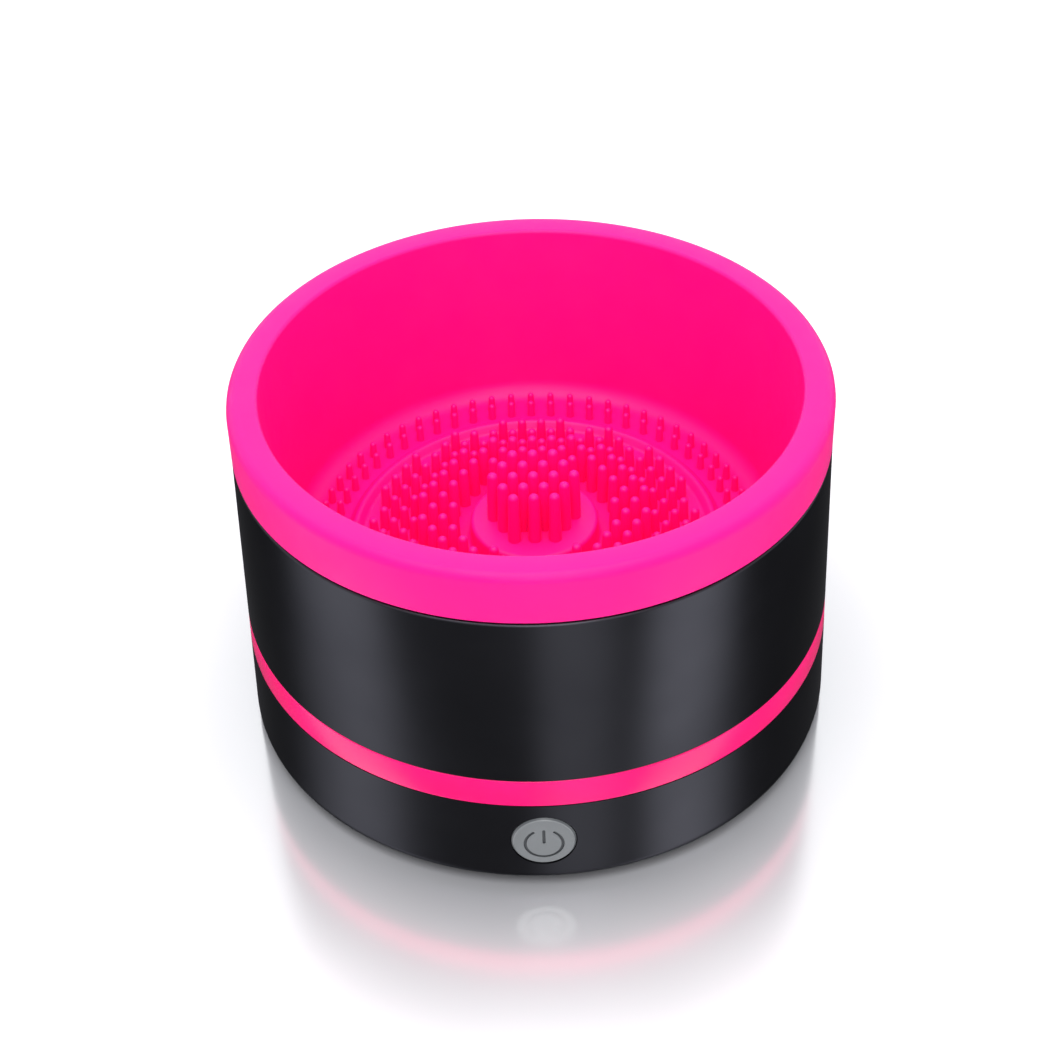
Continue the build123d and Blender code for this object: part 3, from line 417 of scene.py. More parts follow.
@dataclass(frozen=True)
class Lacquer:
    """Black lacquer with fine metal flake over moulded ABS: dark edges and upright soft highlights."""

    name: str = "metallic_black_lacquer"
    colour: str = "3B3B40"
    paler: str = "3F3F44"
    edge: str = "BCBCBC"
    tone_patch_mm: float = 22.0
    roughness: float = 0.32
    unevenness: float = 0.01
    gloss_patch_mm: float = 9.0
    gloss_detail: float = 3.0
    brushing: float = 0.85
    upright: float = 0.25  # a quarter turn lays the highlights upright
    flake_mm: float = 0.12
    flake_depth_mm: float = 0.001
    flake_strength: float = 0.5

    def material(self) -> bpy.types.Material:
        """Build the material.

        Returns:
            The finished material.
        """
        surface = Surface(self.name)
        tone = surface.patches(self.tone_patch_mm, 0.0, 1.0, low=NOISE_MIDDLE)
        surface.link("Base Color", surface.mix(tone, linear(self.colour), linear(self.paler)))
        least, most = self.roughness - self.unevenness, self.roughness + self.unevenness
        surface.link("Roughness", surface.patches(self.gloss_patch_mm, least, most, self.gloss_detail))
        surface.bump(surface.noise(self.flake_mm), self.flake_depth_mm, self.flake_strength)
        surface.fix(
            metallic=1.0,
            specular_tint=linear(self.edge),
            anisotropic=self.brushing,
            anisotropic_rotation=self.upright,
        )
        turn = add_node(surface.tree, "Tangent", {"direction_type": "RADIAL", "axis": "Z"})
        surface.link("Tangent", turn.outputs[0])
        return surface.material


@dataclass(frozen=True)
class EngravedButton:
    """Satin grey ABS whose engraved sign is darker: painted shade in the cut below the button's face."""

    face_mm: float
    depth_mm: float
    colour: str = "727577"
    # the tone of the painted shade deep in the sign's cut
    cut_shade: str = "4A4D50"
    roughness: float = 0.34
    unevenness: float = 0.02
    grain_mm: float = 0.3
    grain_depth_mm: float = 0.004
    shade_start: float = 0.35  # shares of the cut's depth where the painted shade starts and is full
    shade_full: float = 0.6

    def material(self) -> bpy.types.Material:
        """Build the material.

        Returns:
            The finished material.
        """
        surface = Moulded(
            "satin_grey_abs_shaded_sign",
            self.colour,
            self.roughness,
            grain_mm=self.grain_mm,
            grain_depth_mm=self.grain_depth_mm,
            unevenness=self.unevenness,
        ).surface()
        plain = surface.shader.inputs["Base Color"].links[0].from_socket
        below = surface.math("ADD", surface.axis("Y"), self.face_mm)
        in_face = surface.math("LESS_THAN", below, self.depth_mm * 2)
        start, full = self.depth_mm * self.shade_start, self.depth_mm * self.shade_full
        # painted shade: the sign's cut grows darker with depth, as if shade fell into it
        painted = surface.math("MULTIPLY", in_face, surface.ramp(below, start, full, 0.0, 1.0))
        surface.link("Base Color", surface.mix(painted, plain, linear(self.cut_shade)))
        return surface.material


@dataclass(frozen=True)
class Metal:
    """Bare or plated metal: tool or rolling lines along one axis, and small changes of gloss."""

    name: str
    colour: str
    roughness: float
    line_mm: float = 0.12
    along: str = "Z"
    waver_mm: float = 2.0
    stain_mm: float = 5.0
    stain_detail: float = 4.0
    stain_tone: float = 0.82
    stain_dulling: float = 0.1
    line_depth_mm: float = 0.004
    line_strength: float = 0.4

    def material(self) -> bpy.types.Material:
        """Build the material.

        Returns:
            The finished material.
        """
        surface = Surface(self.name)
        base = linear(self.colour)
        darker = tuple(channel * self.stain_tone for channel in base[:3]) + (1.0,)
        phase = surface.math("ADD", surface.axis(self.along), surface.noise(self.waver_mm))
        lines = surface.math("SINE", surface.math("MULTIPLY", phase, FULL_TURN / self.line_mm))
        height = surface.ramp(lines, -1.0, 1.0, 0.0, 1.0)
        stain = surface.patches(self.stain_mm, 0.0, 1.0, self.stain_detail, NOISE_MIDDLE)
        surface.link("Base Color", surface.mix(stain, base, darker))
        duller = self.roughness + self.stain_dulling
        surface.link("Roughness", surface.ramp(stain, 0.0, 1.0, self.roughness, duller))
        surface.bump(height, self.line_depth_mm, self.line_strength)
        surface.fix(metallic=1.0)
        return surface.material


@dataclass(frozen=True)
class Wound:
    """Enamelled copper wire laid side by side: a round ridge for each turn, with painted shade in the
    grooves between turns.
    """

    name: str = "enamelled_copper"
    colour: str = "B5602C"
    wire_mm: float = 0.3
    gap_shade_tone: float = 0.3
    gap_share: float = 0.5
    enamel_patch_mm: float = 1.5
    glossiest: float = 0.22
    dullest: float = 0.34
    relief: float = 0.6

    def material(self) -> bpy.types.Material:
        """Build the material.

        Returns:
            The finished material.
        """
        surface = Surface(self.name)
        base = linear(self.colour)
        # painted shade: the grooves between turns are darker, as if shade fell there
        gap_shade = tuple(channel * self.gap_shade_tone for channel in base[:3]) + (1.0,)
        wave = surface.math("SINE", surface.math("MULTIPLY", surface.axis("Z"), math.pi / self.wire_mm))
        ridge = surface.math("ABSOLUTE", wave)
        on_wire = surface.ramp(ridge, 0.0, self.gap_share, 0.0, 1.0)
        surface.link("Base Color", surface.mix(on_wire, gap_shade, base))
        surface.link("Roughness", surface.patches(self.enamel_patch_mm, self.glossiest, self.dullest))
        surface.bump(ridge, self.wire_mm / 2, self.relief)
        surface.fix(metallic=1.0)
        return surface.material


@dataclass(frozen=True)
class CircuitBoard:
    """Glass-epoxy board under green solder mask: paler tracks that run square."""

    name: str = "solder_mask"
    mask: str = "0B5A2E"
    track: str = "1E8A4A"
    track_mm: float = 2.2
    track_gap: float = 0.06
    track_length: float = 1.4
    track_width: float = 0.5
    stagger: float = 0.37
    track_height_mm: float = 0.03
    relief: float = 0.6
    gloss_patch_mm: float = 2.0
    glossiest: float = 0.25
    dullest: float = 0.4
    ior: float = 1.55

    def material(self) -> bpy.types.Material:
        """Build the material.

        Returns:
            The finished material.
        """
        surface = Surface(self.name)
        bricks = add_node(
            surface.tree,
            "TexBrick",
            {"offset": self.stagger},
            {"Vector": surface.millimetres.outputs[0]},
            scale=1 / self.track_mm,
            mortar_size=self.track_gap,
            brick_width=self.track_length,
            row_height=self.track_width,
        )
        lanes = surface.ramp(bricks.outputs["Fac"], 0.0, 1.0, 0.0, 1.0)
        surface.link("Base Color", surface.mix(lanes, linear(self.mask), linear(self.track)))
        surface.link("Roughness", surface.patches(self.gloss_patch_mm, self.glossiest, self.dullest))
        surface.bump(lanes, self.track_height_mm, self.relief)
        surface.fix(ior=self.ior)
        return surface.material


class Finishes:
    """Every material, made once, under the record's slot names."""

    def __init__(self, button: "PowerButton") -> None:
        """Make the materials.

        Args:
            button: gives the face and the depth of the button's sign, where shade is painted.
        """
        self.made: dict[str, bpy.types.Material] = {
            "pink_silicone": Silicone().material(),
            # high-gloss ABS, dyed through: a bright, slightly deep pink
            "pink_plastic": Moulded(
                "gloss_pink_abs",
                "FF0470",
                roughness=0.24,
                grain_mm=2.5,
                grain_depth_mm=0.001,
                glow=0.04,
                gloss_level=0.28,
                unevenness=0.01,
            ).material(),
            "black_shell": Lacquer().material(),
            # the button's grey carries a painted shade in its engraved sign
            "button_grey": EngravedButton(button.face_mm, button.sign_depth).material(),
            # acetal, for gears: white and waxy
            "white_acetal": Moulded(
                "white_acetal",
                "F6F6F3",
                roughness=0.3,
                grain_mm=0.5,
                grain_depth_mm=0.006,
                ior=1.48,
                unevenness=0.015,
                drift=0.03,
            ).material(),
            # glass-filled nylon: dull grey with visible fibres
            "grey_nylon": Moulded(
                "glass_filled_nylon", "5B5E63", roughness=0.55, grain_mm=0.25, grain_depth_mm=0.02
            ).material(),
            # natural rubber feet: dull and nearly black
            "black_rubber": Moulded(
                "black_rubber", "1B1B1C", roughness=0.7, grain_mm=0.5, grain_depth_mm=0.03, ior=1.52
            ).material(),
            # nitrile lip seal: rusty red and dull
            "seal_rubber": Moulded(
                "red_nitrile", "7A2A1A", roughness=0.6, grain_mm=0.4, grain_depth_mm=0.02, ior=1.52
            ).material(),
            # axles and the motor's can: steel with fine turning marks
            "steel": Metal("turned_steel", "B4B6B8", roughness=0.28, line_mm=0.15).material(),
            # screws and clips: bright zinc plate over rolled thread stock
            "zinc_screw": Metal("zinc_plate", "C3C6C8", roughness=0.25, line_mm=0.35).material(),
            # bushes and pinion: oil-filled bronze, dull and yellow
            "bronze": Metal("sintered_bronze", "A8804A", roughness=0.45, line_mm=0.2).material(),
            "copper_wire": Wound().material(),
            # stamped sheets in a pack, one line to a sheet
            "laminated_steel": Metal("stacked_laminations", "8E9092", roughness=0.4, line_mm=0.5).material(),
            # ferrite: dark grey ceramic, fired and ground
            "ferrite": Moulded(
                "ferrite", "2B2B2E", roughness=0.5, grain_mm=0.2, grain_depth_mm=0.02, ior=2.0
            ).material(),
            # electrographite: soft black with a faint shine
            "carbon": Moulded(
                "electrographite", "161617", roughness=0.6, grain_mm=0.2, grain_depth_mm=0.02
            ).material(),
            "board_green": CircuitBoard().material(),
            # moulded epoxy: black and slightly sandy
            "chip_black": Moulded("chip_epoxy", "1A1A1C", roughness=0.5, grain_mm=0.15).material(),
            # unfilled nylon: cream white and satin
            "white_nylon": Moulded("white_nylon", "E9E4D2", roughness=0.4).material(),
            # shrink film over the cell: thin glossy blue
            "cell_wrap": Moulded(
                "blue_shrink_film", "1C4FA0", roughness=0.18, grain_mm=2.5, grain_depth_mm=0.02, coat=0.2
            ).material(),
            # rolled nickel strip, warm white
            "nickel": Metal("nickel_strip", "C9C3B6", roughness=0.22, line_mm=0.2, along="X").material(),
            # extruded vinyl insulation: glossy, faintly drawn along its length
            "red_insulation": Moulded("red_vinyl", "B51616", roughness=0.3, grain_mm=0.3).material(),
            "black_insulation": Moulded("black_vinyl", "161616", roughness=0.3, grain_mm=0.3).material(),
        }

    def dress(self, node_name: str, slot: str) -> None:
        """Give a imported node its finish.

        Args:
            node_name: the node.
            slot: the record's slot.
        """
        piece = frame["nodes"][node_name]
        piece.data.materials.clear()
        piece.data.materials.append(self.made[slot])
        log.info("%s: %s", node_name, self.made[slot].name)


# ---------------------------------------------------------------- mesh tools


@dataclass(frozen=True)
class Corner:
    """A corner of a turned outline: its distance from the axis, its height and its rounding."""

    radius: float
    height: float
    rounding: float = 0.0


def turned(outline: list[Corner], closed: bool = True, steps: int = ROUND_STEPS) -> bmesh.types.BMesh:
    """Round an outline's corners and spin it about the upright axis.

    Args:
        outline: the corners, in order.
        closed: whether the last corner joins the first.
        steps: facets in the full turn.

    Returns:
        The mesh, in millimetres.
    """
    mesh = bmesh.new()
    corners = [mesh.verts.new((corner.radius, 0.0, corner.height)) for corner in outline]
    for first, second in zip(corners, corners[1:]):
        mesh.edges.new((first, second))
    if closed:
        mesh.edges.new((corners[-1], corners[0]))
    for corner, vertex in zip(outline, corners):
        if corner.rounding:
            bmesh.ops.bevel(
                mesh,
                geom=[vertex],
                offset=corner.rounding,
                offset_type="OFFSET",
                segments=CORNER_STEPS,
                profile=0.5,
                affect="VERTICES",
                material=-1,
            )
    bmesh.ops.spin(
        mesh,
        geom=mesh.verts[:] + mesh.edges[:],
        cent=(0, 0, 0),
        axis=(0, 0, 1),
        angle=FULL_TURN,
        steps=steps,
        use_merge=True,
    )
    bmesh.ops.remove_doubles(mesh, verts=mesh.verts, dist=SAME_POINT)
    bmesh.ops.dissolve_degenerate(mesh, edges=mesh.edges, dist=SHORTEST_EDGE)
    bmesh.ops.recalc_face_normals(mesh, faces=mesh.faces)
    return mesh


def repeated(mesh: bmesh.types.BMesh, places: list[Vector]) -> bmesh.types.BMesh:
    """Copy a mesh to many places.

    Args:
        mesh: the mesh to copy, which is used up.
        places: how far each copy is moved.

    Returns:
        All the copies in one mesh.
    """
    pattern = bpy.data.meshes.new("pattern")
    mesh.to_mesh(pattern)
    mesh.free()
    group = bmesh.new()
    for place in places:
        before = len(group.verts)
        group.from_mesh(pattern)
        group.verts.ensure_lookup_table()
        bmesh.ops.translate(group, vec=place, verts=group.verts[before:])
    bpy.data.meshes.remove(pattern)
    return group


def finish_piece(
    name: str,
    mesh: bmesh.types.BMesh,
    material: bpy.types.Material,
    body: str,
    replaced: tuple[str, ...],
) -> None:
    """Turn a mesh to metres, and make it a piece of the object.

    Args:
        name: the piece's name.
        mesh: the mesh in millimetres, in the object's frame, which is used up.
        material: its finish.
        body: the body that it rides on.
        replaced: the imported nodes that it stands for.
    """
    bmesh.ops.scale(mesh, vec=(MM, MM, MM), verts=mesh.verts)
    data = bpy.data.meshes.new(name)
    mesh.to_mesh(data)
    mesh.free()
    data.polygons.foreach_set("use_smooth", [True] * len(data.polygons))
    data.set_sharp_from_angle(angle=SMOOTH_ANGLE)
    data.materials.append(material)
    piece = bpy.data.objects.new(name, data)
    bpy.context.scene.collection.objects.link(piece)
    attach(piece, body)
    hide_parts(*replaced)
    log.info("%s: %d faces on %s", name, len(data.polygons), body)


def in_mm(node_name: str) -> tuple[Vector, Vector]:
    """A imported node's box.

    Args:
        node_name: the node.

    Returns:
        The lowest and the highest corner, in millimetres.
    """
    low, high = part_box(node_name)
    return Vector(low) / MM, Vector(high) / MM


# ---------------------------------------------------------------- sub-assemblies


@dataclass
class SiliconeBowl:
    """The lift-off bowl: a rim with a hanging skirt, a tapered wall, a ridged floor and moulded bristles."""

    rim_width: float = 6.15
    rim_thickness: float = 2.4
    rim_round: float = 2.0
    skirt_wall: float = 1.6
    skirt_height: float = 11.0
    wall: float = 1.8
    floor: float = 2.6
    draft: float = 5.4
    corner: float = 3.5
    ridge_inset: float = 12.1
    ridge_height: float = 2.2
    ridge_width: float = 3.2
    socket_tube: float = 11.25
    flange_wall: float = 1.2
    pitch: float = 4.1
    field_inset: float = 3.5
    short_band: float = 9.0
    taper: float = 0.8
    dome_root_round: float = 1.0
    ridge_root_round: float = 0.5
    ridge_round: float = 1.3
    mouth_round: float = 0.7
    skirt_edge: float = 0.4
    under_rim_round: float = 0.5
    tip_round: float = 0.9  # share of a bristle's tip that is rounded off
    long_bristle: tuple[float, float] = (1.35, 11.5)
    medium_bristle: tuple[float, float] = (1.2, 9.0)
    short_bristle: tuple[float, float] = (1.05, 5.5)
    edge_pin: tuple[float, float] = (0.8, 3.6)
    outer_pins: tuple[float, int] = (5.1, 64)
    inner_pins: tuple[float, int] = (8.1, 60)
    peg_steps: int = 12

    def build_shell(self, finishes: Finishes) -> None:
        """Turn the bowl, rim and skirt as one moulding.

        Args:
            finishes: the materials.
        """
        low, high = in_mm("silicone_bowl")
        rim = high.x
        top = high.z
        seat = low.z
        floor_top = seat + self.floor
        mouth = rim - self.rim_width
        slope = math.tan(math.radians(self.draft))
        floor_radius = self.floor_edge()
        ridge_radius = floor_radius - self.ridge_inset
        socket_low, socket_high = in_mm("drive_socket")
        flange = socket_high.x
        dome_top = in_mm("long_bristles")[0].z
        roof = socket_high.z
        socket = self.socket_tube
        dome = socket + self.wall
        half_ridge = self.ridge_width / 2
        under_rim = top - self.rim_thickness
        outline = [
            Corner(0, dome_top),
            Corner(dome, dome_top, self.wall / 2),
            Corner(dome, floor_top, self.dome_root_round),
            Corner(ridge_radius - half_ridge, floor_top, self.ridge_root_round),
            Corner(ridge_radius, floor_top + self.ridge_height, self.ridge_round),
            Corner(ridge_radius + half_ridge, floor_top, self.ridge_root_round),
            Corner(floor_radius, floor_top, self.corner),
            Corner(mouth, top, self.mouth_round),
            Corner(rim, top, self.rim_round),
            Corner(rim, top - self.skirt_height, self.skirt_edge),
            Corner(rim - self.skirt_wall, top - self.skirt_height, self.skirt_edge),
            Corner(rim - self.skirt_wall, under_rim),
            Corner(mouth + self.wall - self.rim_thickness * slope, under_rim, self.under_rim_round),
            Corner(floor_radius + self.wall - self.floor * slope, seat, self.corner + self.wall),
            Corner(flange, seat),
            Corner(flange, seat + self.flange_wall),
            Corner(socket, seat + self.flange_wall),
            Corner(socket, roof),
            Corner(0, roof),
        ]
        finish_piece(
            "bowl_moulding",
            turned(outline, closed=False),
            finishes.made["pink_silicone"],
            "bowl",
            ("silicone_bowl",),
        )

    def floor_edge(self) -> float:
        """Where the wall's inside would meet the floor.

        Returns:
            The radius there.
        """
        low, high = in_mm("silicone_bowl")
        height = high.z - low.z - self.floor
        return high.x - self.rim_width - height * math.tan(math.radians(self.draft))

    def places(self, kind: Length) -> list[Vector]:
        """Where the bristles of one kind stand, seen from above.

        Args:
            kind: the kind of bristle.

        Returns:
            Their places in the plan.
        """
        edge = self.floor_edge()
        if kind is Length.EDGE:
            return [
                Vector(((edge - inset) * math.cos(turn), (edge - inset) * math.sin(turn), 0))
                for inset, count in (self.outer_pins, self.inner_pins)
                for turn in (FULL_TURN * k / count for k in range(count))
            ]
        row_pitch = self.pitch * math.sqrt(3) / 2
        ridge = edge - self.ridge_inset
        field_radius = ridge - self.field_inset
        reach = int(field_radius / row_pitch) + 1
        rows = range(-reach, reach + 1)
        spots = [
            Vector(((column + row % 2 / 2) * self.pitch, row * row_pitch, 0))
            for row in rows
            for column in rows
        ]
        dome = self.socket_tube + self.wall
        if kind is Length.LONG:
            return [spot for spot in spots if spot.length < dome - self.wall - self.long_bristle[0]]
        medium = field_radius - self.short_band
        if kind is Length.MEDIUM:
            inner = dome + self.medium_bristle[0] + self.taper
            return [spot for spot in spots if inner < spot.length < medium]
        return [spot for spot in spots if medium <= spot.length < field_radius]

    def build_bristles(self, finishes: Finishes) -> None:
        """Stand every bristle on the bowl's floor, as a tapered peg with a round tip.

        Args:
            finishes: the materials.
        """
        sizes = {
            Length.LONG: self.long_bristle,
            Length.MEDIUM: self.medium_bristle,
            Length.SHORT: self.short_bristle,
            Length.EDGE: self.edge_pin,
        }
        for kind, (root, height) in sizes.items():
            tip = root * self.taper
            outline = [Corner(root, 0), Corner(tip, height, tip * self.tip_round), Corner(0, height)]
            peg = turned(outline, closed=False, steps=self.peg_steps)
            bmesh.ops.translate(peg, vec=(0, 0, in_mm(kind.value)[0].z), verts=peg.verts)
            group = repeated(peg, self.places(kind))
            finish_piece(
                kind.value + "_moulded",
                group,
                finishes.made["pink_silicone"],
                "bowl",
                (kind.value,),
            )

    def build(self, finishes: Finishes) -> None:
        """Build the whole bowl.

        Args:
            finishes: the materials.
        """
        self.build_shell(finishes)
        self.build_bristles(finishes)


@dataclass
class Housing:
    """The black sleeve and the pink ring round it, each with the soft edges of a moulding."""

    skin_wall: float = 2.0
    edge: float = 0.25
    shoulder_edge: float = 0.45
    ring_edge: float = 0.4
    shoulder_wall: float = 1.2
    rebate_gap: float = 0.15

    def build_sleeve(self, finishes: Finishes) -> None:
        """Turn the black sleeve with its drawn-in shoulder.

        Args:
            finishes: the materials.
        """
        low, high = in_mm("upper_sleeve")
        top = self.top_radius
        rebate = self.rebate_radius
        outline = [
            Corner(top - self.skin_wall, low.z),
            Corner(high.x, low.z, self.edge),
            Corner(top, high.z, self.shoulder_edge),
            Corner(rebate, high.z, self.edge),
            Corner(rebate, high.z - self.shoulder_wall),
            Corner(top - self.skin_wall, high.z - self.shoulder_wall),
        ]
        finish_piece(
            "sleeve",
            turned(outline),
            finishes.made["black_shell"],
            "housing",
            ("upper_sleeve",),
        )

    def build_ring(self, finishes: Finishes) -> None:
        """Turn the pink ring with its rounded edges.

        Args:
            finishes: the materials.
        """
        low, high = in_mm("accent_ring")
        sleeve_high = in_mm("upper_sleeve")[1]
        lean = (sleeve_high.x - self.top_radius) / (sleeve_high.z - high.z)
        inner = self.top_radius - self.skin_wall
        outline = [
            Corner(inner, low.z),
            Corner(high.x, low.z, self.ring_edge),
            Corner(high.x - lean * (high.z - low.z), high.z, self.ring_edge),
            Corner(inner, high.z),
        ]
        finish_piece(
            "accent_stripe",
            turned(outline),
            finishes.made["pink_plastic"],
            "housing",
            ("accent_ring",),
        )

    @property
    def top_radius(self) -> float:
        """The sleeve's outside radius at its top.

        Returns:
            The radius of the bowl's skirt, which it lines up with.
        """
        return in_mm("silicone_bowl")[1].x

    @property
    def rebate_radius(self) -> float:
        """The sleeve's inside radius at its top.

        Returns:
            The radius that clears the tub's flange.
        """
        return in_mm("inner_tub")[1].x + self.rebate_gap

    def build(self, finishes: Finishes) -> None:
        """Build the sleeve and the ring.

        Args:
            finishes: the materials.
        """
        self.build_sleeve(finishes)
        self.build_ring(finishes)


@dataclass
class PowerButton:
    """The grey push button: its face and the depth of its sign."""

    sign_depth: float = 0.35

    @property
    def face_mm(self) -> float:
        """Where the button's face is.

        Returns:
            How far it stands from the bowl's axis.
        """
        return -in_mm("power_button")[0].y


@dataclass(frozen=True)
class Band:
    """An upright glow low in the surround."""

    azimuth: float  # degrees round from the camera's side, to the right
    half_width: float  # degrees
    brightness: float


@dataclass(frozen=True)
class SoftBox:
    """A rectangular light that faces the object."""

    name: str
    azimuth: float  # degrees round from the camera's side, to the right
    lift: float  # degrees above the floor
    away: float  # metres from the object
    width: float  # metres
    height: float  # metres
    power: float  # watts


@dataclass
class Studio:
    """Pale floor with a painted shade round the object, soft boxes and the camera."""

    aim_height: float = 40.0
    distance: float = 459.84
    elevation: float = 39.82
    roll: float = -1.72
    lens: float = 76.26
    shift: float = -0.00445
    boxes: tuple[SoftBox, ...] = (
        SoftBox("top_box", azimuth=-10.0, lift=76.0, away=1.2, width=1.0, height=1.0, power=9.5),
        SoftBox("front_box", azimuth=4.0, lift=34.0, away=0.9, width=0.35, height=0.5, power=1.4),
    )
    bands: tuple[Band, ...] = (
        Band(azimuth=-76.5, half_width=26.0, brightness=2.0),
        Band(azimuth=58.0, half_width=22.0, brightness=2.3),
        Band(azimuth=14.0, half_width=20.0, brightness=0.8),
    )
    surround_tone: str = "F2F3F6"
    surround_low: float = 0.8
    surround_high: float = 1.08
    surround_rise: float = 0.8  # how high the surround is brightest, as a share of straight up
    horizon_blur: float = 0.1
    back_glow: float = 0.62
    ground_tone: float = 0.14
    floor_size: float = 6.0  # metres
    floor_ior: float = 2.6
    # painted shade: the floor's grey tone beside the object, as if the object shaded it
    near_painted_shade_tone: str = "B6B6B9"
    near_roughness: float = 0.12
    near_gloss: float = 1.0
    far_tone: str = "F4F4F5"
    far_roughness: float = 0.3
    far_gloss: float = 0.3
    polish_and_shade_ends: tuple[float, float] = (62.0, 112.0)  # from the bowl's axis, where the polish and the painted shade start to go and where they are gone
    polish_and_shade_waver: float = 4.0
    waver_size: float = 60.0

    def build_floor(self) -> None:
        """Lay a pale sheet under the object, polished beside it and satin further out, with a painted shade
        that is grey beside the object and fades to white further out.
        """
        mesh = bmesh.new()
        bmesh.ops.create_grid(mesh, x_segments=2, y_segments=2, size=self.floor_size / 2)
        data = bpy.data.meshes.new("floor")
        mesh.to_mesh(data)
        mesh.free()
        surface = Surface("pale_laminate_with_painted_shade")
        place = {"Vector": surface.millimetres.outputs[0]}
        away = add_node(surface.tree, "VectorMath", {"operation": "LENGTH"}, place).outputs["Value"]
        uneven = surface.math("ADD", away, surface.patches(self.waver_size, 0.0, self.polish_and_shade_waver))
        # satin runs from 0 beside the object to 1 further out; it drives the painted shade in the floor's
        # tone as well as the polish
        satin = surface.ramp(uneven, *self.polish_and_shade_ends, 0.0, 1.0)
        surface.link("Base Color", surface.mix(satin, linear(self.near_painted_shade_tone), linear(self.far_tone)))
        surface.link("Roughness", surface.ramp(satin, 0.0, 1.0, self.near_roughness, self.far_roughness))
        surface.link("Specular IOR Level", surface.ramp(satin, 0.0, 1.0, self.near_gloss, self.far_gloss))
        surface.fix(ior=self.floor_ior)
        data.materials.append(surface.material)
        floor = bpy.data.objects.new("floor", data)
        bpy.context.scene.collection.objects.link(floor)
        floor.visible_glossy = False

    def build_camera(self) -> None:
        """Stand the camera in front of the button, above the rim."""
        lift = math.radians(self.elevation)
        data = bpy.data.cameras.new("camera")
        data.lens = self.lens
        data.shift_x = self.shift
        camera = bpy.data.objects.new("camera", data)
        aim = Vector((0, 0, self.aim_height)) * MM
        back = Vector((0, -math.cos(lift), math.sin(lift)))
        roll = Matrix.Rotation(math.radians(self.roll), 4, "Z")
        turn = back.to_track_quat("Z", "Y").to_matrix().to_4x4() @ roll
        camera.matrix_world = Matrix.Translation(aim + back * self.distance * MM) @ turn
        bpy.context.scene.collection.objects.link(camera)
        bpy.context.scene.camera = camera

    def hang(self, box: SoftBox) -> None:
        """Hang one soft box.

        Args:
            box: its place, size and power.
        """
        data = bpy.data.lights.new(box.name, "AREA")
        data.shape = "RECTANGLE"
        data.size = box.width
        data.size_y = box.height
        data.energy = box.power
        light = bpy.data.objects.new(box.name, data)
        side = math.radians(box.azimuth)
        up = math.radians(box.lift)
        out = Vector((math.sin(side) * math.cos(up), -math.cos(side) * math.cos(up), math.sin(up)))
        aim = Vector((0, 0, self.aim_height)) * MM
        facing = out.to_track_quat("Z", "Y").to_matrix().to_4x4()
        light.matrix_world = Matrix.Translation(aim + out * box.away) @ facing
        bpy.context.scene.collection.objects.link(light)

    def ground_glow(self, tree: bpy.types.NodeTree, level: bpy.types.NodeSocket) -> bpy.types.NodeSocket:
        """The dim ground with its upright glows.

        Args:
            tree: the world's node tree.
            level: the direction looked in, seen from above.

        Returns:
            The brightness below the horizon.
        """
        ground = add_node(tree, "Value")
        ground.outputs[0].default_value = self.ground_tone
        below = ground.outputs[0]
        for band in self.bands:
            side = math.radians(band.azimuth)
            facing = add_node(tree, "VectorMath", {"operation": "DOT_PRODUCT"}, {0: level})
            facing.inputs[1].default_value = (math.sin(side), -math.cos(side), 0.0)
            glow = add_node(
                tree,
                "MapRange",
                {"clamp": True, "interpolation_type": "SMOOTHSTEP"},
                {"Value": facing.outputs["Value"]},
                from_min=math.cos(math.radians(band.half_width)),
                from_max=1.0,
                to_min=0.0,
                to_max=band.brightness,
            )
            below = add_node(tree, "Math", {"operation": "ADD"}, {0: below, 1: glow.outputs[0]}).outputs[0]
        return below

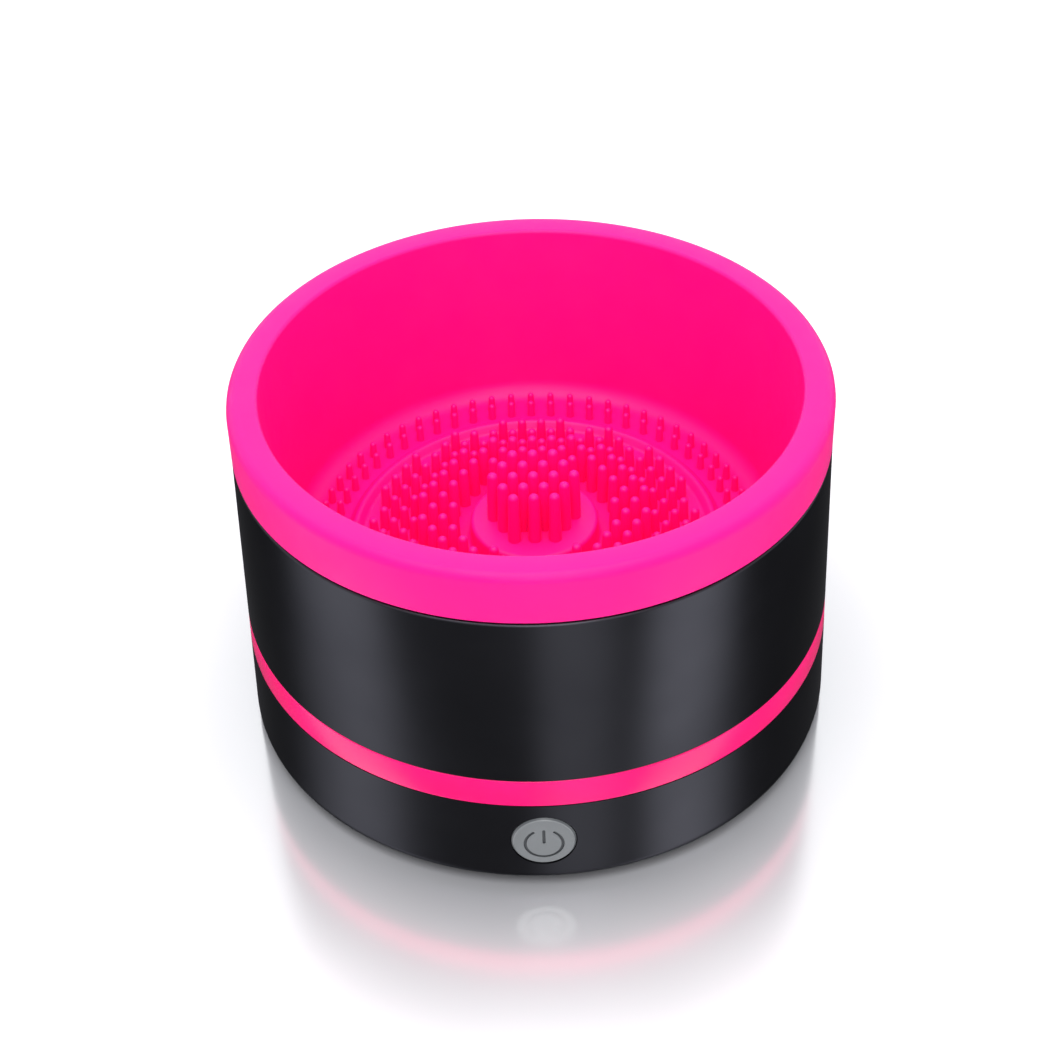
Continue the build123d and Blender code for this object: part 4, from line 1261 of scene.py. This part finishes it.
    def sky_glow(
        self, tree: bpy.types.NodeTree, rise: bpy.types.NodeSocket, level: bpy.types.NodeSocket
    ) -> bpy.types.NodeSocket:
        """The pale sky, brighter overhead and behind the object.

        Args:
            tree: the world's node tree.
            rise: how far up the direction looked in points.
            level: the direction looked in, seen from above.

        Returns:
            The brightness above the horizon.
        """
        sky = add_node(
            tree,
            "MapRange",
            {"clamp": True},
            {"Value": rise},
            from_min=0.0,
            from_max=self.surround_rise,
            to_min=self.surround_low,
            to_max=self.surround_high,
        )
        behind = add_node(tree, "SeparateXYZ", links={"Vector": level}).outputs["Y"]
        lit = add_node(
            tree,
            "MapRange",
            {"clamp": True, "interpolation_type": "SMOOTHSTEP"},
            {"Value": behind},
            from_min=0.0,
            from_max=self.surround_rise,
            to_min=0.0,
            to_max=self.back_glow,
        )
        both = {0: sky.outputs[0], 1: lit.outputs[0]}
        return add_node(tree, "Math", {"operation": "ADD"}, both).outputs[0]

    def build_surround(self) -> None:
        """Make the pale sky, and the dim ground with the upright glows that glossy walls reflect."""
        world = bpy.data.worlds.new("surround")
        world.use_nodes = True
        bpy.context.scene.world = world
        tree = world.node_tree
        look = add_node(tree, "TexCoord").outputs["Generated"]
        rise = add_node(tree, "SeparateXYZ", links={"Vector": look}).outputs["Z"]
        plan = add_node(tree, "VectorMath", {"operation": "MULTIPLY"}, {0: look})
        plan.inputs[1].default_value = (1.0, 1.0, 0.0)
        level = add_node(tree, "VectorMath", {"operation": "NORMALIZE"}, {0: plan.outputs[0]}).outputs[0]
        above = add_node(
            tree,
            "MapRange",
            {"clamp": True},
            {"Value": rise},
            from_min=-self.horizon_blur,
            from_max=self.horizon_blur,
        ).outputs[0]
        parts = {0: above, 2: self.ground_glow(tree, level), 3: self.sky_glow(tree, rise, level)}
        whole = add_node(tree, "Mix", {"data_type": "FLOAT"}, parts)
        background = tree.nodes["Background"]
        background.inputs["Color"].default_value = linear(self.surround_tone)
        tree.links.new(whole.outputs[0], background.inputs["Strength"])

    def build_lights(self) -> None:
        """Hang the soft boxes and set the pale surround."""
        for box in self.boxes:
            self.hang(box)
        self.build_surround()
        bpy.context.scene.view_settings.view_transform = "Standard"

    def build(self) -> None:
        """Build the floor, the lights and the camera."""
        self.build_camera()
        self.build_floor()
        self.build_lights()


# ---------------------------------------------------------------- the whole


def main() -> None:
    """Build every sub-assembly in order."""
    logging.basicConfig(level=logging.INFO, format="%(name)s %(message)s")
    Studio().build()
    finishes = Finishes(PowerButton())
    for entry in frame["record"]["subparts"]:
        finishes.dress(entry["node"], entry["material_slot"])
    SiliconeBowl().build(finishes)
    Housing().build(finishes)


if __name__ == "__main__":
    main()
